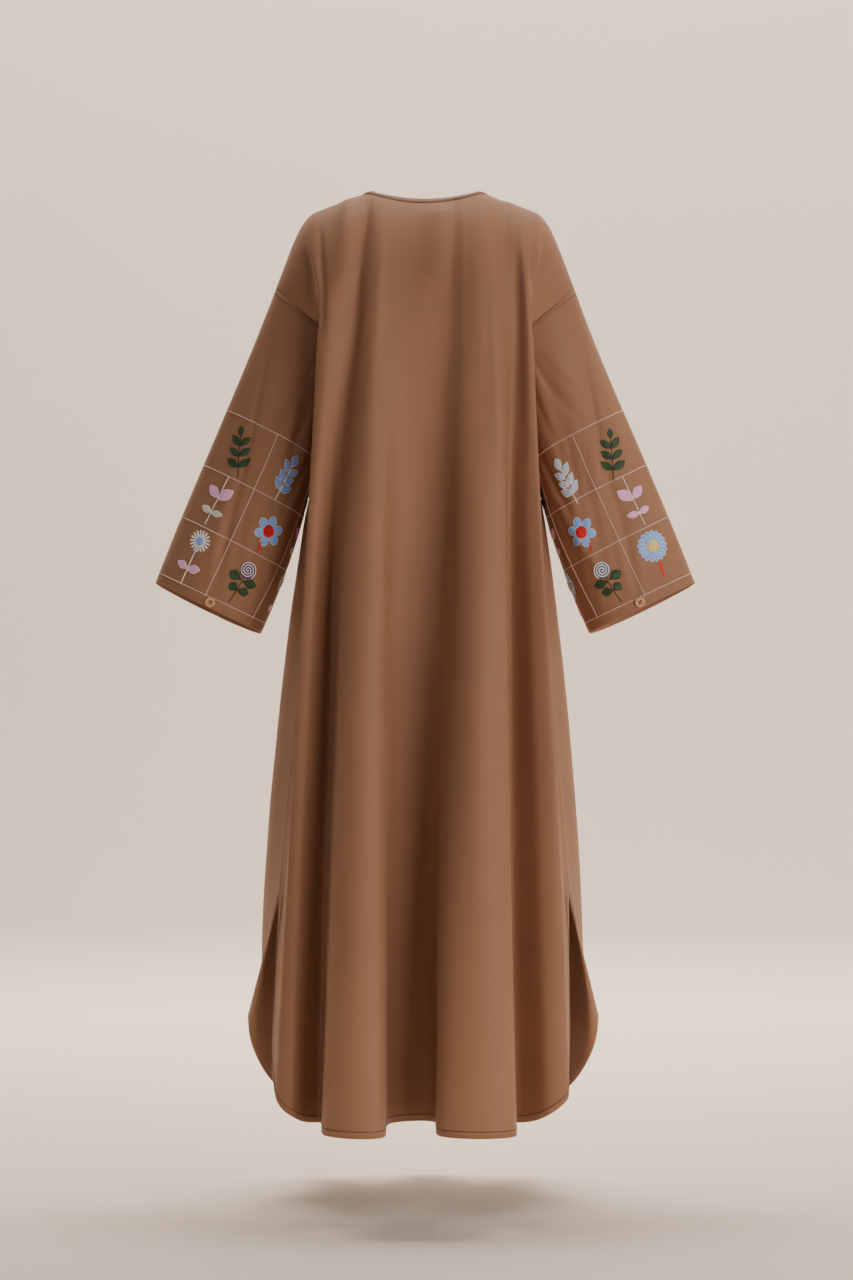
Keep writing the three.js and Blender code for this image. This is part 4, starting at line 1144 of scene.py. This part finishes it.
class DRESS_OT_buttons(bpy.types.Operator):
    """Turned wood buttons with a rim and four sewn holes on the cuff bands"""
    bl_idname = "mukhawar.buttons"
    bl_label = "Buttons"

    def execute(self, context):
        radius = context.scene.mukhawar.button_diameter / 2 / MM
        wood = turned_wood("lacquered_fruitwood", "#E4B27C", "#96623C")
        # Painted shade: a near-black wood for the faces deep in the four holes.
        hole_shade_wood = turned_wood("painted_hole_shade", "#4A2C1A", "#2E1A10")
        for side in ("left", "right"):
            sleeve = STATE["sleeve_" + side]
            foot = sleeve.at_height(BUTTON_ALONG, BUTTON_UP)
            up = sleeve.at_height(BUTTON_ALONG, BUTTON_UP + 4) - foot
            out = sleeve.at_height(BUTTON_ALONG, BUTTON_UP, 2.0) - foot
            out /= np.linalg.norm(out)
            across = np.cross(up, out)
            across /= np.linalg.norm(across)
            up = np.cross(out, across)
            centre = foot + out * 0.9
            place = Matrix(((across[0], up[0], out[0], centre[0]), (across[1], up[1], out[1], centre[1]),
                            (across[2], up[2], out[2], centre[2]), (0, 0, 0, 1)))
            rim = [(0.75, 0.0), (0.96, 0.5), (1.0, 1.2), (0.97, 2.0), (0.86, 2.5), (0.76, 2.3), (0.68, 1.75)]
            rim += [(0.66 - 0.66 * k / 15, 1.6) for k in range(16)]
            segments = 48
            vertices, faces, pits = [], [], []
            for k in range(segments):
                q = 2 * math.pi * k / segments
                for share, z in rim:
                    x, y = radius * share * math.cos(q), radius * share * math.sin(q)
                    near = min(math.hypot(x - a, y - b) for a, b in BUTTON_HOLES)
                    pit = 1.4 * min(max((1.25 - near) / 0.3, 0), 1) * (share <= 0.66)
                    pits.append(pit)
                    vertices.append(place @ Vector((x, y, z - pit)))
            rows = len(rim)
            for k in range(segments):
                a, b = k * rows, ((k + 1) % segments) * rows
                faces += [(a + j, b + j, b + j + 1, a + j + 1) for j in range(rows - 1)]
            faces.append(tuple(k * rows for k in reversed(range(segments))))
            # Painted shade: faces well down in a hole take the near-black second material.
            slots = [int(sum(pits[k] for k in face) > 2.0 and len(face) == 4) for face in faces]
            points = to_metres([tuple(v) for v in vertices])
            obj = new_object(f"{side}_button", points, faces, [wood, hole_shade_wood], slots=slots)
            finish_piece(obj, "button", "button_" + side)
            path = [tuple(place @ Vector((x, y, 1.75))) for x, y in BUTTON_HOLES]
            rows = [[path[0], path[1]], [path[2], path[3]]]
            thread = stitch_rows(f"{side}_button_thread", rows, seam_thread(), 4.0, 0.1, 0.4)
            finish_piece(thread, "cloth")
        return {"FINISHED"}


class DRESS_OT_stage(bpy.types.Operator):
    """Pale floor and wall, soft studio light and the camera"""
    bl_idname = "mukhawar.stage"
    bl_label = "Studio"

    def execute(self, context):
        paint = studio_paint("matt_emulsion", "#E9DDD2", 0.9)
        backdrop = new_object("studio_floor_and_wall", *self.sweep(), [paint])
        for row in LIGHTS:
            light = dict(zip(LIGHT_COLUMNS, row))
            data = bpy.data.lights.new(light["name"], "AREA")
            data.shape = "RECTANGLE"
            data.size, data.size_y = light["wide"], light["tall"]
            data.energy = light["power"]
            data.spread = math.radians(light["spread"])
            data.color = linear(light["colour"])[:3]
            lamp = bpy.data.objects.new(light["name"], data)
            lamp.location = light["place"]
            aim = Vector(light["aim"]) - Vector(light["place"])
            lamp.rotation_euler = aim.to_track_quat("-Z", "Y").to_euler()
            context.scene.collection.objects.link(lamp)
        world = bpy.data.worlds.new("studio_air")
        world.use_nodes = True
        air = world.node_tree.nodes["Background"]
        air.inputs["Color"].default_value = linear("#FFFAF5")
        path = node(world.node_tree, "ShaderNodeLightPath")
        strength = node(world.node_tree, "ShaderNodeMapRange",
                        inputs={"To Min": AIR_STRENGTH, "To Max": SEEN_AIR},
                        links={"Value": path.outputs["Is Camera Ray"]})
        world.node_tree.links.new(strength.outputs["Result"], air.inputs["Strength"])
        context.scene.world = world
        data = bpy.data.cameras.new("studio_camera")
        data.sensor_width = 36.0
        data.lens = CAMERA_LENS
        camera = bpy.data.objects.new("studio_camera", data)
        camera.location = CAMERA_PLACE
        camera.rotation_euler = (math.radians(90 - CAMERA_DIP), 0, 0)
        context.scene.collection.objects.link(camera)
        context.scene.camera = camera
        return {"FINISHED"}

    def sweep(self):
        """The floor, a soft bend and the wall, as one sheet."""
        turn = np.linspace(0, math.pi / 2, 14)
        rows = [(-9.0, FLOOR_Z)]
        rows += [(WALL_Y - BEND + BEND * math.sin(q), FLOOR_Z + BEND - BEND * math.cos(q)) for q in turn]
        rows += [(WALL_Y, 7.0)]
        vertices = [(x, y, z) for y, z in rows for x in (-9.0, 9.0)]
        faces = [(2 * k, 2 * k + 1, 2 * k + 3, 2 * k + 2) for k in range(len(rows) - 1)]
        return vertices, faces


class DRESS_PT_panel(bpy.types.Panel):
    """Lists the dress's settings and its pieces in the sidebar"""
    bl_idname = "DRESS_PT_panel"
    bl_label = "Mukhawar"
    bl_space_type = "VIEW_3D"
    bl_region_type = "UI"
    bl_category = "Mukhawar"

    def draw(self, context):
        settings = context.scene.mukhawar
        for name in DressSettings.__annotations__:
            self.layout.prop(settings, name)
        for operator in OPERATORS:
            self.layout.operator(operator.bl_idname)


OPERATORS = (DRESS_OT_stage, DRESS_OT_back, DRESS_OT_front, DRESS_OT_sleeves, DRESS_OT_binding,
             DRESS_OT_embroidery, DRESS_OT_stitching, DRESS_OT_buttons)
CLASSES = (DressSettings, *OPERATORS, DRESS_PT_panel)


def register():
    for cls in CLASSES:
        bpy.utils.register_class(cls)
    bpy.types.Scene.mukhawar = bpy.props.PointerProperty(type=DressSettings)


def unregister():
    del bpy.types.Scene.mukhawar
    for cls in reversed(CLASSES):
        bpy.utils.unregister_class(cls)


def main():
    register()
    bpy.ops.mukhawar.stage()
    bpy.ops.mukhawar.back()
    bpy.ops.mukhawar.front()
    bpy.ops.mukhawar.sleeves()
    bpy.ops.mukhawar.binding()
    bpy.ops.mukhawar.embroidery()
    bpy.ops.mukhawar.stitching()
    bpy.ops.mukhawar.buttons()
    bpy.context.view_layer.update()


if __name__ == "__main__":
    main()
